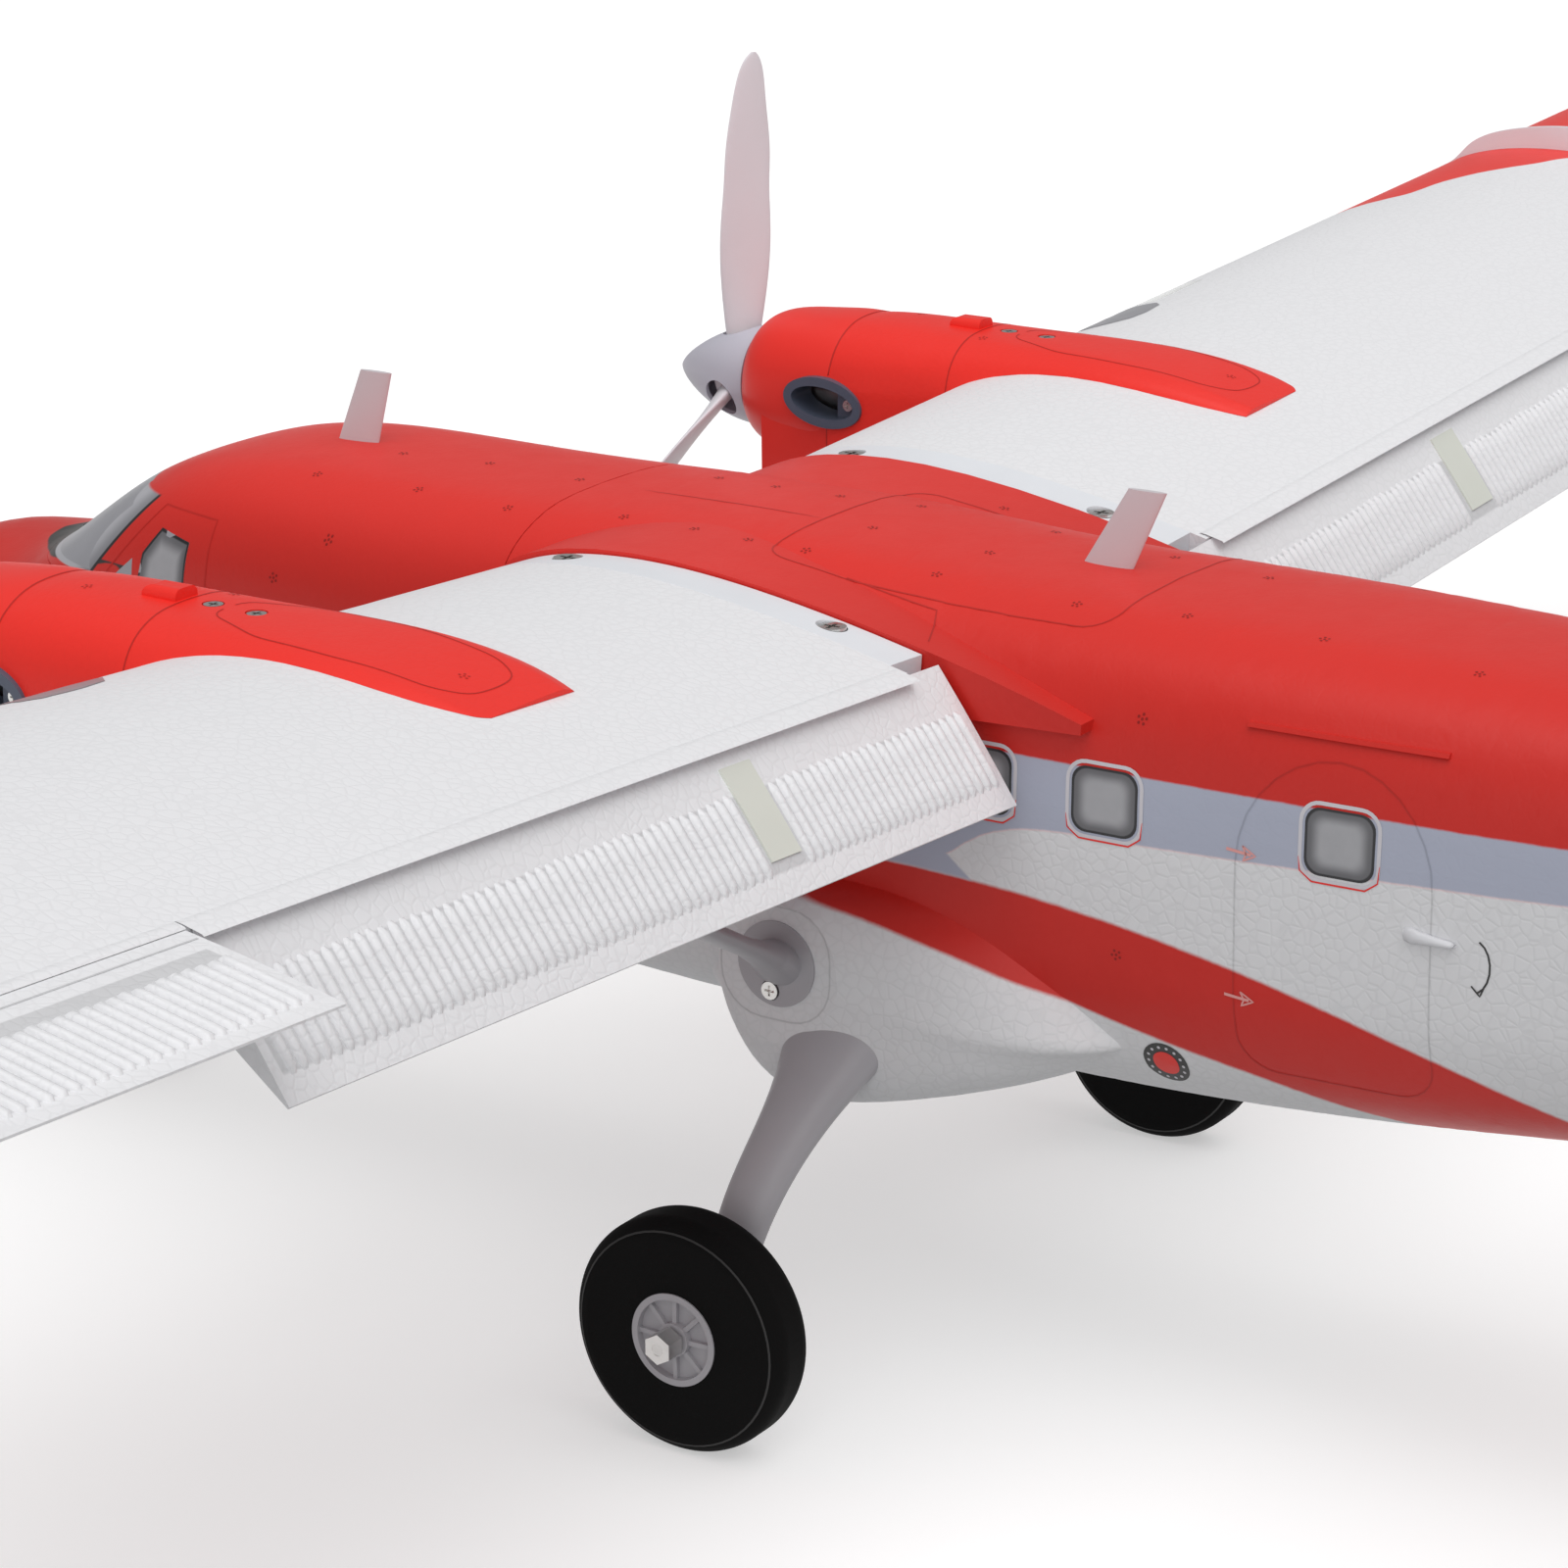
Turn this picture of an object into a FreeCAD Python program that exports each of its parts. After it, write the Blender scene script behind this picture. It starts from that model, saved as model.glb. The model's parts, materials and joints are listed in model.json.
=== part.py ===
"""A high-wing twin-engined model aeroplane of moulded foam, built as separate pieces.

Row frame, in millimetres: the nose points to -Y, +X is the aeroplane's left, +Z is up.
The origin is midway along the length, on the ground between the wheels.
Left-hand pieces are modelled, and their right-hand twins are mirrored in the plane x = 0.
At rest the flaps are down and every other control surface is neutral.
"""
import FreeCAD, Part
import Sketcher
import math
import os

from FreeCAD import Placement, Rotation, Vector

DIMENSIONS = {
    # wing
    "half_span": 605.0,
    "chord": 158.0,
    "wing_thickness_ratio": 0.15,
    "camber_ratio": 0.02,
    "camber_place": 0.40,
    "incidence_deg": 3.8,
    "dihedral_deg": 3.0,
    "root_x": 57.5,
    "wing_edge_y": -181.0,
    "wing_edge_z": 178.4,
    "root_plate_outer_x": 71.0,
    "root_plate_length": 117.5,
    "tip_cap_length": 13.0,
    # control surfaces on the wing
    "hinge_along": 122.0,
    "surface_gap": 0.5,
    "surface_bevel_deg": 46.0,
    "flap_inner_x": 58.5,
    "flap_outer_x": 315.0,
    "flap_down_deg": 38.0,
    "aileron_up_deg": 5.0,
    "aileron_inner_x": 317.0,
    "aileron_outer_x": 588.0,
    "fence_x": 472.0,
    "fence_thickness": 1.8,
    "lens_inner_x": 246.0,
    "lens_outer_x": 275.0,
    "lens_depth": 13.0,
    "spar_radius": 4.0,
    "spar_bore": 3.0,
    "spar_length": 380.0,
    "spar_along": 48.0,
    "spar_z": 180.0,
    # body
    "body_half_width": 53.5,
    "body_wall": 4.0,
    "saddle_rise": 1.0,
    "saddle_half_width": 57.0,
    "hatch_front_y": -353.0,
    "hatch_rear_y": -188.0,
    "hatch_floor_z": 157.0,
    "hatch_gap": 0.25,
    "hatch_wall": 2.6,
    "rail_y": 15.0,
    "rail_length": 47.0,
    "rail_z": 173.2,
    # engines
    "nacelle_x": 171.0,
    "nacelle_half_width": 24.0,
    "engine_axis_z": 178.5,
        "cowl_split_y": -218.0,
    "cowl_wall": 1.6,
    "motor_room_radius": 19.0,
    "motor_room_rear_y": -200.0,
    "mount_disc_thickness": 3.0,
    "standoff_radius": 2.4,
    "standoff_circle": 9.0,
    "stator_rear_y": -212.0,
    "stator_core_radius": 10.8,
    "bell_radius": 14.0,
    "bell_bore": 11.8,
    "shaft_radius": 2.0,
    "shaft_clearance": 0.05,
    "exhaust_y": -219.0,
    "exhaust_z": 179.4,
    "exhaust_half_length": 12.8,
    "exhaust_droop_deg": 6.0,
    "exhaust_half_height": 7.0,
    "exhaust_lip": 2.6,
    "exhaust_depth": 9.0,
    # propellers
    "spinner_base_y": -253.5,
    "spinner_length": 29.8,
    "spinner_radius": 14.4,
    "spinner_wall": 1.2,
    "blade_slot_radius": 5.8,
    "hub_radius": 8.0,
        "blade_plane_y": -262.3,
    "blade_turn_deg": 2.5,
    # landing gear
    "gear_y": -89.3,
    "strut_foot_y": -97.0,
    "strut_head_y": -80.0,
    "wheel_x": 113.2,
    "tyre_radius": 28.5,
    "tyre_width": 14.6,
    "tyre_shoulder": 4.6,
    "wheel_hub_radius": 11.2,
    "wheel_hub_width": 15.4,
    "wheel_boss_radius": 4.0,
    "wheel_web_width": 11.4,
    "wheel_rim_thickness": 1.5,
    "axle_radius": 1.5,
    "axle_clearance": 0.05,
    "axle_start_x": 92.0,
    "axle_end_x": 127.0,
    "collar_start_x": 121.9,
    "collar_length": 5.2,
    "collar_flats": 6.4,
    "nose_y": -361.0,
    "nose_tyre_radius": 24.0,
    "nose_tyre_width": 17.0,
    "nose_tyre_shoulder": 6.0,
    "nose_hub_radius": 9.5,
    "nose_hub_width": 14.0,
    "nose_boss_radius": 3.6,
    "nose_web_width": 10.0,
    "fork_half_width": 12.0,
    "fork_arm_thickness": 3.0,
    "fork_crown_z": 54.0,
    "leg_tube_radius": 3.2,
    "leg_top_z": 112.0,
    "steering_arm_length": 26.0,
    "steering_arm_thickness": 2.4,
    # tail
    "tail_half_span": 192.0,
    "tailplane_z": 214.0,
    "tailplane_front_y": 386.0,
    "tailplane_hinge_y": 436.0,
    "tailplane_rear_y": 473.0,
    "tailplane_thickness": 9.0,
    "elevator_inner_x": 23.0,
    "elevator_joiner_radius": 1.5,
    "fin_thickness": 10.0,
    "rudder_hinge_y": 442.0,
    "tail_gap": 0.5,
    # equipment
    "battery_length": 108.0,
    "battery_width": 36.0,
    "battery_height": 26.0,
    "battery_y": -268.0,
    "tray_z": 96.0,
    "tray_thickness": 2.5,
    "tray_width": 58.0,
    "tray_length": 138.0,
    "controller_length": 46.0,
    "controller_width": 22.0,
    "controller_height": 8.0,
    "receiver_length": 36.0,
    "receiver_width": 22.0,
    "receiver_height": 12.0,
    "servo_length": 22.5,
    "servo_width": 10.5,
    "servo_height": 17.0,
    # screws
    "wing_screw_head": 3.4,
    "small_screw_head": 2.2,
}

# Body sections from the nose to the tail: station y, share of the half width, roof z, belly z.
BODY_SECTIONS = [
    (-481.0, 0.05, 122.0, 116.5),
    (-476.0, 0.19, 129.5, 110.0),
    (-462.0, 0.33, 135.5, 103.0),
    (-438.0, 0.48, 141.0, 95.5),
    (-408.0, 0.62, 147.0, 89.5),
    (-378.0, 0.75, 153.5, 85.5),
    (-358.0, 0.82, 157.2, 83.5),
    (-346.0, 0.86, 163.5, 82.5),
    (-330.0, 0.90, 174.3, 81.0),
    (-313.0, 0.94, 184.0, 80.0),
    (-295.0, 0.97, 189.0, 79.0),
    (-262.0, 1.00, 191.3, 78.0),
    (-180.0, 1.00, 191.7, 75.5),
    (-90.0, 1.00, 191.0, 72.5),
    (-20.0, 1.00, 189.3, 73.0),
    (60.0, 0.97, 187.6, 79.0),
    (150.0, 0.82, 186.0, 89.0),
    (250.0, 0.60, 184.0, 108.0),
    (350.0, 0.36, 182.0, 136.0),
    (430.0, 0.18, 180.0, 158.0),
    (470.0, 0.09, 178.0, 168.0),
]
FIRST_HOLLOW_SECTION = 3
LAST_HOLLOW_SECTION = 19
NOSE_MIDDLE_Z = 120.0
CABIN_MIDDLE_Z = 148.0
TAIL_MIDDLE_Z = 173.0

# Nacelle, cowl and chin sections: station y, share of the half width, top and bottom above the engine
# axis, and how square the upper and lower halves are.
COWL_SECTIONS = [
    (-251.5, 0.70, 16.5, -16.0, 2.1, 2.1),
    (-249.0, 0.80, 18.8, -18.0, 2.1, 2.1),
    (-243.0, 0.90, 20.8, -19.5, 2.2, 2.2),
    (-232.0, 0.97, 21.8, -21.0, 2.3, 2.3),
    (-218.0, 1.00, 22.0, -22.0, 2.4, 2.4),
]
CHIN_SECTIONS = [
    (-242.0, 0.88, 0.5, -34.0, 2.1, 6.0),
    (-218.0, 0.99, 0.5, -36.5, 2.1, 4.5),
]
NACELLE_SECTIONS = [
    (-218.0, 1.00, 22.0, -36.5, 2.4, 4.5),
    (-180.0, 1.00, 22.3, -35.5, 2.8, 4.0),
    (-150.0, 1.00, 21.8, -31.0, 3.3, 3.2),
    (-120.0, 1.00, 19.8, -22.0, 4.2, 2.6),
    (-100.0, 0.90, 15.8, -15.0, 5.5, 2.6),
    (-90.5, 0.80, 13.0, -12.0, 6.0, 2.6),
]

# Landing gear leg: centre x, y behind the axle, centre z, chord and thickness, from the body down.
LEG_SECTIONS = [
    (56.0, 5.5, 84.5, 29.5, 15.5),
    (65.0, 5.0, 77.5, 23.5, 13.5),
    (76.0, 4.5, 69.0, 17.5, 11.0),
    (88.0, 3.0, 57.5, 14.6, 9.0),
    (95.2, 1.2, 45.0, 13.0, 8.0),
    (99.6, 0.0, 26.0, 12.5, 7.5),
]

# Propeller blade: radius, chord, thickness, pitch angle and sideways shift of each section.
BLADE_SECTIONS = [
    (4.0, 7.5, 5.5, 58.0, 0.0),
    (13.0, 10.5, 4.2, 46.0, 0.0),
    (25.0, 13.8, 3.2, 39.0, 0.0),
    (38.0, 15.8, 2.6, 33.0, 0.0),
    (55.0, 15.0, 2.1, 27.0, 0.0),
    (75.0, 12.6, 1.6, 22.0, 0.3),
    (86.0, 8.8, 1.2, 20.0, 1.0),
    (90.5, 4.6, 0.9, 18.5, 1.7),
    (91.8, 1.8, 0.7, 18.0, 2.0),
]

doc = FreeCAD.newDocument("aeroplane")
sheet = doc.addObject("Spreadsheet::Sheet", "Sizes")
for row, (alias, number) in enumerate(DIMENSIONS.items(), start=1):
    sheet.set(f"A{row}", alias)
    sheet.set(f"B{row}", str(number))
    sheet.setAlias(f"B{row}", alias)
doc.recompute()

nodes = []


def size(alias):
    """The value of one driving dimension."""
    return float(sheet.get(alias))


def node(item, label):
    """Name a finished sub-part and list it for writing."""
    item.Label = label
    nodes.append(item)
    return item


def held(name, shape):
    """A document object that holds a shape made by function."""
    item = doc.addObject("Part::Feature", name)
    item.Shape = shape
    return item


def mirrored(source, label):
    """The right-hand twin of a left-hand piece."""
    twin = doc.addObject("Part::Mirroring", label)
    twin.Source = source
    twin.Normal = Vector(1, 0, 0)
    twin.Base = Vector(0, 0, 0)
    return node(twin, label)


def pair(source, label):
    """One node that holds a left-hand piece and its mirrored twin."""
    twin = doc.addObject("Part::Mirroring", label + "_twin")
    twin.Source = source
    twin.Normal = Vector(1, 0, 0)
    return group([source, twin], label)


def group(pieces, label):
    """One node that holds several separate solids."""
    compound = doc.addObject("Part::Compound", label)
    compound.Links = pieces
    return node(compound, label)


def bind(item, **expressions):
    """Bind an object's properties to expressions on the sheet."""
    for property_name, expression in expressions.items():
        item.setExpression(property_name, expression)
    return item


def box(name, length, width, height, corner):
    """A box whose sizes are sheet expressions, with its low corner at the given point."""
    item = doc.addObject("Part::Box", name)
    bind(item, Length=length, Width=width, Height=height)
    item.Placement.Base = Vector(*corner)
    return item


def cylinder(name, radius, height, start, direction):
    """A cylinder whose sizes are sheet expressions, from a point along a direction."""
    item = doc.addObject("Part::Cylinder", name)
    bind(item, Radius=radius, Height=height)
    item.Placement = Placement(Vector(*start), Rotation(Vector(0, 0, 1), Vector(*direction)))
    return item


def cut(name, base, tool):
    """The base object less the tool object."""
    item = doc.addObject("Part::Cut", name)
    item.Base = base
    item.Tool = tool
    return item


def plane_of(body, role):
    """One of a body's own origin planes."""
    return next(item for item in body.Origin.OriginFeatures if item.Role == role)


def outline_sketch(body, name, role, corners):
    """A closed polygon in a body's origin plane, each corner placed by two sheet expressions."""
    sketch = body.newObject("Sketcher::SketchObject", name)
    sketch.AttachmentSupport = [(plane_of(body, role), "")]
    sketch.MapMode = "FlatFace"
    places = [Vector(size_of(across), size_of(up), 0) for across, up in corners]
    for index, start in enumerate(places):
        sketch.addGeometry(Part.LineSegment(start, places[(index + 1) % len(places)]), False)
    for index in range(len(places)):
        following = (index + 1) % len(places)
        sketch.addConstraint(Sketcher.Constraint("Coincident", index, 2, following, 1))
    for index, (across, up) in enumerate(corners):
        for kind, expression, value in (("DistanceX", across, places[index].x),
                                        ("DistanceY", up, places[index].y)):
            number = sketch.addConstraint(Sketcher.Constraint(kind, -1, 1, index, 1, value))
            sketch.setExpression(f"Constraints[{number}]", expression)
    return sketch


def size_of(expression):
    """The present value of a sheet expression."""
    return float(doc.getObject("Sizes").evalExpression(expression.replace("Sizes.", "")))


def revolved_body(name, profile):
    """A body turned about its own X axis from corners given as (along X, radius)."""
    body = doc.addObject("PartDesign::Body", name)
    sketch = outline_sketch(body, name + "_profile", "XY_Plane", profile)
    turn = body.newObject("PartDesign::Revolution", name + "_turn")
    turn.Profile = sketch
    turn.ReferenceAxis = (sketch, ["H_Axis"])
    turn.Angle = 360.0
    body.Tip = turn
    sketch.Visibility = False
    doc.recompute()
    return body, turn


def circular_edges(shape, radius):
    """The names of a shape's circular edges of one radius."""
    names = []
    for index, edge in enumerate(shape.Edges, start=1):
        if isinstance(edge.Curve, Part.Circle) and abs(edge.Curve.Radius - radius) < 1e-6:
            names.append(f"Edge{index}")
    return names


def rounded(body, feature, edges, radius):
    """Round named edges of a body's last feature by a sheet expression."""
    fillet = body.newObject("PartDesign::Fillet", body.Name + "_rounding")
    fillet.Base = (feature, edges)
    fillet.setExpression("Radius", radius)
    body.Tip = fillet
    doc.recompute()
    return fillet


def prism(points, sweep):
    """A closed polygon swept along a vector."""
    return Part.Face(Part.makePolygon(points + [points[0]])).extrude(sweep)


def disc(centre, direction, radius, depth):
    """A plain cylinder shape used to cut or to join."""
    return Part.makeCylinder(radius, depth, centre, direction)


def oval(y, x, middle_z, half_width, top, bottom, upper_power=2.0, lower_power=2.0, count=28, lean=0.0):
    """A closed smooth section in the plane y, squarer where its power is higher.

    Lean moves its highest and lowest points along X and leaves its ends.
    """
    points = []
    for index in range(count):
        turn = 2 * math.pi * index / count
        rise = math.sin(turn)
        reach = math.cos(turn)
        power = 2 / (upper_power if rise >= 0 else lower_power)
        height = (top - middle_z) if rise >= 0 else (middle_z - bottom)
        across = half_width * math.copysign(abs(reach) ** power, reach)
        up = height * math.copysign(abs(rise) ** power, rise)
        points.append(Vector(x + across + lean * abs(rise) ** power, y, middle_z + up))
    steps = [index / count for index in range(count + 1)]
    curve = Part.BSplineCurve()
    curve.interpolate(Points=points, PeriodicFlag=True, Parameters=steps)
    return Part.Wire([curve.toShape()])


def ease(value, start, end):
    """A smooth step from 0 at start to 1 at end."""
    share = min(1.0, max(0.0, (value - start) / (end - start)))
    return share * share * (3 - 2 * share)


# ---------------------------------------------------------------- wing

DIHEDRAL = math.tan(math.radians(size("dihedral_deg")))
INCIDENCE = math.radians(size("incidence_deg"))


def section_heights(share):
    """Upper and lower surface of the wing section at a share of the chord, in millimetres."""
    chord = size("chord")
    camber = size("camber_ratio")
    place = size("camber_place")
    spread = (0.2969 * math.sqrt(share) - 0.1260 * share - 0.3516 * share ** 2
              + 0.2843 * share ** 3 - 0.1015 * share ** 4)
    half = 5 * size("wing_thickness_ratio") * spread
    if share < place:
        middle = camber / place ** 2 * (2 * place * share - share ** 2)
    else:
        middle = camber / (1 - place) ** 2 * (1 - 2 * place + 2 * place * share - share ** 2)
    return chord * (middle + half), chord * (middle - half)


def wing_point(x, along, up):
    """A point of the wing from its place along the chord and its height above the chord line."""
    edge_z = size("wing_edge_z") + (x - size("root_x")) * DIHEDRAL
    y = size("wing_edge_y") + along * math.cos(INCIDENCE) + up * math.sin(INCIDENCE)
    z = edge_z - along * math.sin(INCIDENCE) + up * math.cos(INCIDENCE)
    return Vector(x, y, z)


def wing_section(x, shrink=1.0, growth=0.0, count=14):
    """The wing's closed outline at x, thinned by shrink, or grown outwards by growth."""
    chord = size("chord")
    shares = [(1 - math.cos(math.pi * index / count)) / 2 for index in range(count + 1)]
    upper, lower = [], []
    for share in shares:
        high, low = section_heights(share)
        along = chord * share - growth * math.cos(math.pi * share)
        upper.append(wing_point(x, along, shrink * high + growth))
        lower.append(wing_point(x, along, shrink * low - growth))
    if growth == 0.0:
        lower[0] = upper[0]
    top = Part.BSplineCurve()
    top.interpolate(upper)
    bottom = Part.BSplineCurve()
    bottom.interpolate(lower)
    edges = [top.toShape(), Part.LineSegment(upper[-1], lower[-1]).toShape(), bottom.toShape()]
    if growth > 0.0:
        edges.append(Part.LineSegment(lower[0], upper[0]).toShape())
    return Part.Wire(Part.__sortEdges__(edges))


def span_vector(length):
    """The sweep that follows the dihedral for a length of span."""
    return Vector(length, 0, length * DIHEDRAL)


def wing_length(inner, outer):
    """The solid wing between two stations."""
    return Part.Face(wing_section(inner)).extrude(span_vector(outer - inner))


def chord_prism(inner, outer, corners):
    """A prism along the span from corners given as (along, up) in the chord's frame."""
    points = [wing_point(inner, along, up) for along, up in corners]
    return prism(points, span_vector(outer - inner))


FAR = 40.0   # beyond any surface of the wing
HINGE = size("hinge_along")
HINGE_UP = section_heights(HINGE / size("chord"))[0]
GAP = size("surface_gap")
CHORD = size("chord")


def bay(inner, outer):
    """The room behind the wing's rear face for a flap or an aileron."""
    return chord_prism(inner, outer, [(HINGE, FAR), (HINGE, -FAR), (CHORD + FAR, -FAR), (CHORD + FAR, FAR)])


def moving_surface(inner, outer):
    """A flap or aileron: the wing behind its hinge line, its front face bevelled below the hinge."""
    slope = math.tan(math.radians(size("surface_bevel_deg")))
    front = HINGE + GAP
    corners = [(front, FAR), (front, HINGE_UP), (front + FAR * slope, HINGE_UP - FAR),
               (CHORD + FAR, -FAR), (CHORD + FAR, FAR)]
    return wing_length(inner, outer).common(chord_prism(inner, outer, corners))


def hinge_line(x):
    """The point of the wing's hinge line at x."""
    return wing_point(x, HINGE + GAP / 2, HINGE_UP)


def surface_screw_places():
    """Tops of the two screws that hold the left wing root."""
    return [wing_point(62.7, along, section_heights(along / CHORD)[0]) for along in (23.0, 96.5)]


def screw(top, head_radius, shank_radius, length):
    """A cross-headed screw that points down, with its head's top at the given point."""
    head_height = 0.6 * head_radius
    solid = disc(top, Vector(0, 0, -1), head_radius, head_height)
    solid = solid.fuse(disc(top, Vector(0, 0, -1), shank_radius, length))
    for length_x, length_y in ((1.2, 0.26), (0.26, 1.2)):
        slot = Part.makeBox(length_x * head_radius, length_y * head_radius, 0.3 * head_radius)
        slot.translate(top - Vector(length_x * head_radius / 2, length_y * head_radius / 2,
                                    0.3 * head_radius))
        solid = solid.cut(slot)
    return solid.removeSplitter()


def screw_hole(top, head_radius, shank_radius, length):
    """The hole that a screw of the same sizes leaves, open above its head."""
    seat = top - Vector(0, 0, 0.6 * head_radius)
    hole = disc(seat, Vector(0, 0, 1), head_radius + 0.3, 12.0)
    return hole.fuse(disc(top, Vector(0, 0, -1), shank_radius, length))


def aimed(shape, place, direction):
    """A shape made at the origin along +Z, turned to a direction and moved to a place."""
    copy = shape.copy()
    copy.Placement = Placement(place, Rotation(Vector(0, 0, 1), direction))
    return copy


def make_spar_hole():
    """The straight bore through both wings for the spar tube."""
    half = size("spar_length") / 2
    start = Vector(-half, size("wing_edge_y") + size("spar_along"), size("spar_z"))
    return disc(start, Vector(1, 0, 0), size("spar_radius"), 2 * half)


def make_wing():
    """The left wing panel with its tip cap, less everything that is let into it."""
    inner = size("root_plate_outer_x")
    cap_start = size("half_span") - size("tip_cap_length")
    panel = wing_length(inner, cap_start)
    cap = Part.makeLoft([wing_section(cap_start),
                         wing_section(cap_start + 0.6 * size("tip_cap_length"), 0.86),
                         wing_section(size("half_span"), 0.45)], True)
    panel = panel.fuse(cap)
    panel = panel.cut(bay(inner - 1, size("flap_outer_x") + 1.0))
    panel = panel.cut(bay(size("flap_outer_x") + 1.0, size("aileron_outer_x") + 1.0))
    panel = panel.cut(make_spar_hole())
    panel = panel.cut(lens_room())
    for servo in wing_servo_boxes():
        panel = panel.cut(servo)
    for top in nacelle_screw_tops():
        panel = panel.cut(screw_hole(top, size("small_screw_head"), 1.0, 8.0))
    return panel.removeSplitter()


def lens_room():
    """The part of the leading edge that the landing light lens fills."""
    depth = size("lens_depth")
    return chord_prism(size("lens_inner_x"), size("lens_outer_x"),
                       [(-FAR, -FAR), (depth, -FAR), (depth, FAR), (-FAR, FAR)])


def wing_servo_boxes():
    """The flap and aileron servos of the left wing, flush with its lower surface."""
    boxes = []
    for x in (228.0, 430.0):
        low = wing_point(x, 66.0, section_heights(0.50)[1])
        case = Part.makeBox(size("servo_width"), size("servo_length"), 0.8 * size("servo_height"))
        case.translate(Vector(x, low.y, low.z + 0.6))
        boxes.append(case)
    return boxes


def make_root_plate():
    """The plain end rib that the wing screws go through."""
    inner = size("root_x")
    outer = size("root_plate_outer_x")
    rib = wing_length(inner, outer)
    rear = size("root_plate_length")
    rib = rib.cut(chord_prism(inner - 1, outer + 1, [(rear, FAR), (rear, -FAR), (CHORD + FAR, -FAR),
                                                     (CHORD + FAR, FAR)]))
    rib = rib.cut(make_spar_hole())
    for top in surface_screw_places():
        rib = rib.cut(screw_hole(top, size("wing_screw_head"), 1.5, 14.0))
    return rib


def make_fence():
    """The upright plate that wraps the leading edge and stands on the wing's upper surface."""
    x = size("fence_x")
    outline = Part.BSplineCurve()
    outline.interpolate([wing_point(x, along, up) for along, up in
                         ((9, -9), (-1.5, -7.5), (-4.6, -3), (-2.5, 1.5), (1.9, 4.6), (8.2, 11.7),
                          (18.1, 17.2), (30, 20.4), (42, 22.2), (56, 22.0), (67, 19), (71, 14))])
    base = Part.makePolygon([wing_point(x, 71, 14), wing_point(x, 66, 5), wing_point(x, 12, 0),
                             wing_point(x, 9, -9)])
    face = Part.Face(Part.Wire(Part.__sortEdges__([outline.toShape()] + base.Edges)))
    plate = face.extrude(span_vector(size("fence_thickness")))
    return plate.cut(wing_length(x - 5, x + 5))


def build_wings():
    """Wings, their moving surfaces and everything that is fixed to them."""
    wing = node(held("left_wing_shape", make_wing()), "left_wing")
    mirrored(wing, "right_wing")
    plate = node(held("left_root_plate_shape", make_root_plate()), "left_root_plate")
    mirrored(plate, "right_root_plate")
    screws = Part.makeCompound([screw(top, size("wing_screw_head"), 1.5, 14.0)
                                for top in surface_screw_places()])
    pair(held("left_wing_screws", screws), "wing_screws")
    start = (-size("spar_length") / 2, size("wing_edge_y") + size("spar_along"), size("spar_z"))
    tube = cut("spar", cylinder("spar_outside", "Sizes.spar_radius", "Sizes.spar_length", start, (1, 0, 0)),
               cylinder("spar_inside", "Sizes.spar_bore", "Sizes.spar_length", start, (1, 0, 0)))
    node(tube, "spar_tube")
    fence = node(held("left_fence_shape", make_fence()), "left_wing_fence")
    mirrored(fence, "right_wing_fence")
    lens = wing_length(size("lens_inner_x"), size("lens_outer_x")).common(lens_room())
    pair(held("left_lens", lens), "landing_light_lenses")
    pair(held("left_servos", Part.makeCompound(wing_servo_boxes())), "wing_servos")

    flap = moving_surface(size("flap_inner_x"), size("flap_outer_x"))
    flap.rotate(hinge_line(size("flap_inner_x")), span_vector(-1.0), size("flap_down_deg"))
    mirrored(node(held("left_flap_shape", flap), "left_flap"), "right_flap")
    aileron = moving_surface(size("aileron_inner_x"), size("aileron_outer_x"))
    aileron.rotate(hinge_line(size("aileron_inner_x")), span_vector(1.0), size("aileron_up_deg"))
    mirrored(node(held("left_aileron_shape", aileron), "left_aileron"), "right_aileron")


# ---------------------------------------------------------------- body

def body_loft(inset, sections):
    """The body's outer form, or its hollow when inset by a wall."""
    wires = []
    for y, share, roof, belly in sections:
        cabin = ease(y, -440.0, -300.0) * (1 - ease(y, 60.0, 460.0))
        nose = 1 - ease(y, -440.0, -300.0)
        tail = 1 - cabin - nose
        middle = nose * NOSE_MIDDLE_Z + cabin * CABIN_MIDDLE_Z + tail * TAIL_MIDDLE_Z
        half_width = share * size("body_half_width") - inset
        brow = ease(y, -365.0, -285.0) * (1 - ease(y, 60.0, 460.0))
        wires.append(oval(y, 0.0, middle, half_width, roof - inset, belly + inset,
                          2.1 + 1.0 * brow, 2.1 + 1.4 * cabin))
    return Part.makeLoft(wires, True)


def make_saddle():
    """The wing's root shape carried across the roof, ending in a thin spike beside each flap."""
    reach = size("saddle_half_width")
    section = wing_section(0.0, growth=size("saddle_rise"))
    section.translate(Vector(-reach, 0, size("root_x") * DIHEDRAL))
    return Part.Face(section).extrude(Vector(2 * reach, 0, 0))


# Gear stub sections: x, front, rear, lowest point, top and bottom.
STUB_SECTIONS = [
    (30.0, -150.0, 4.0, -85.0, 124.0, 76.0),
    (46.0, -126.0, -16.0, -87.0, 122.0, 64.5),
    (57.0, -112.5, -36.0, -91.0, 119.0, 65.5),
    (62.0, -113.0, -60.0, -94.5, 117.5, 70.0),
    (65.4, -113.0, -80.5, -97.5, 115.5, 81.0),
]
STUB_UPPER_POWER = 2.4
STUB_LOWER_POWER = 1.6


def make_gear_stub():
    """The flared corner of the belly that carries the left leg and the foot of the strut."""
    wires = []
    for x, front, rear, lowest, top, bottom in STUB_SECTIONS:
        middle = (front + rear) / 2
        ring = oval(0.0, 0.0, (top + bottom) / 2, (rear - front) / 2, top, bottom, STUB_UPPER_POWER,
                    STUB_LOWER_POWER, 24, lowest - middle)
        ring.rotate(Vector(0, 0, 0), Vector(0, 0, 1), 90)
        ring.translate(Vector(x, middle, 0))
        wires.append(ring)
    return Part.makeLoft(wires, True)


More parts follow.
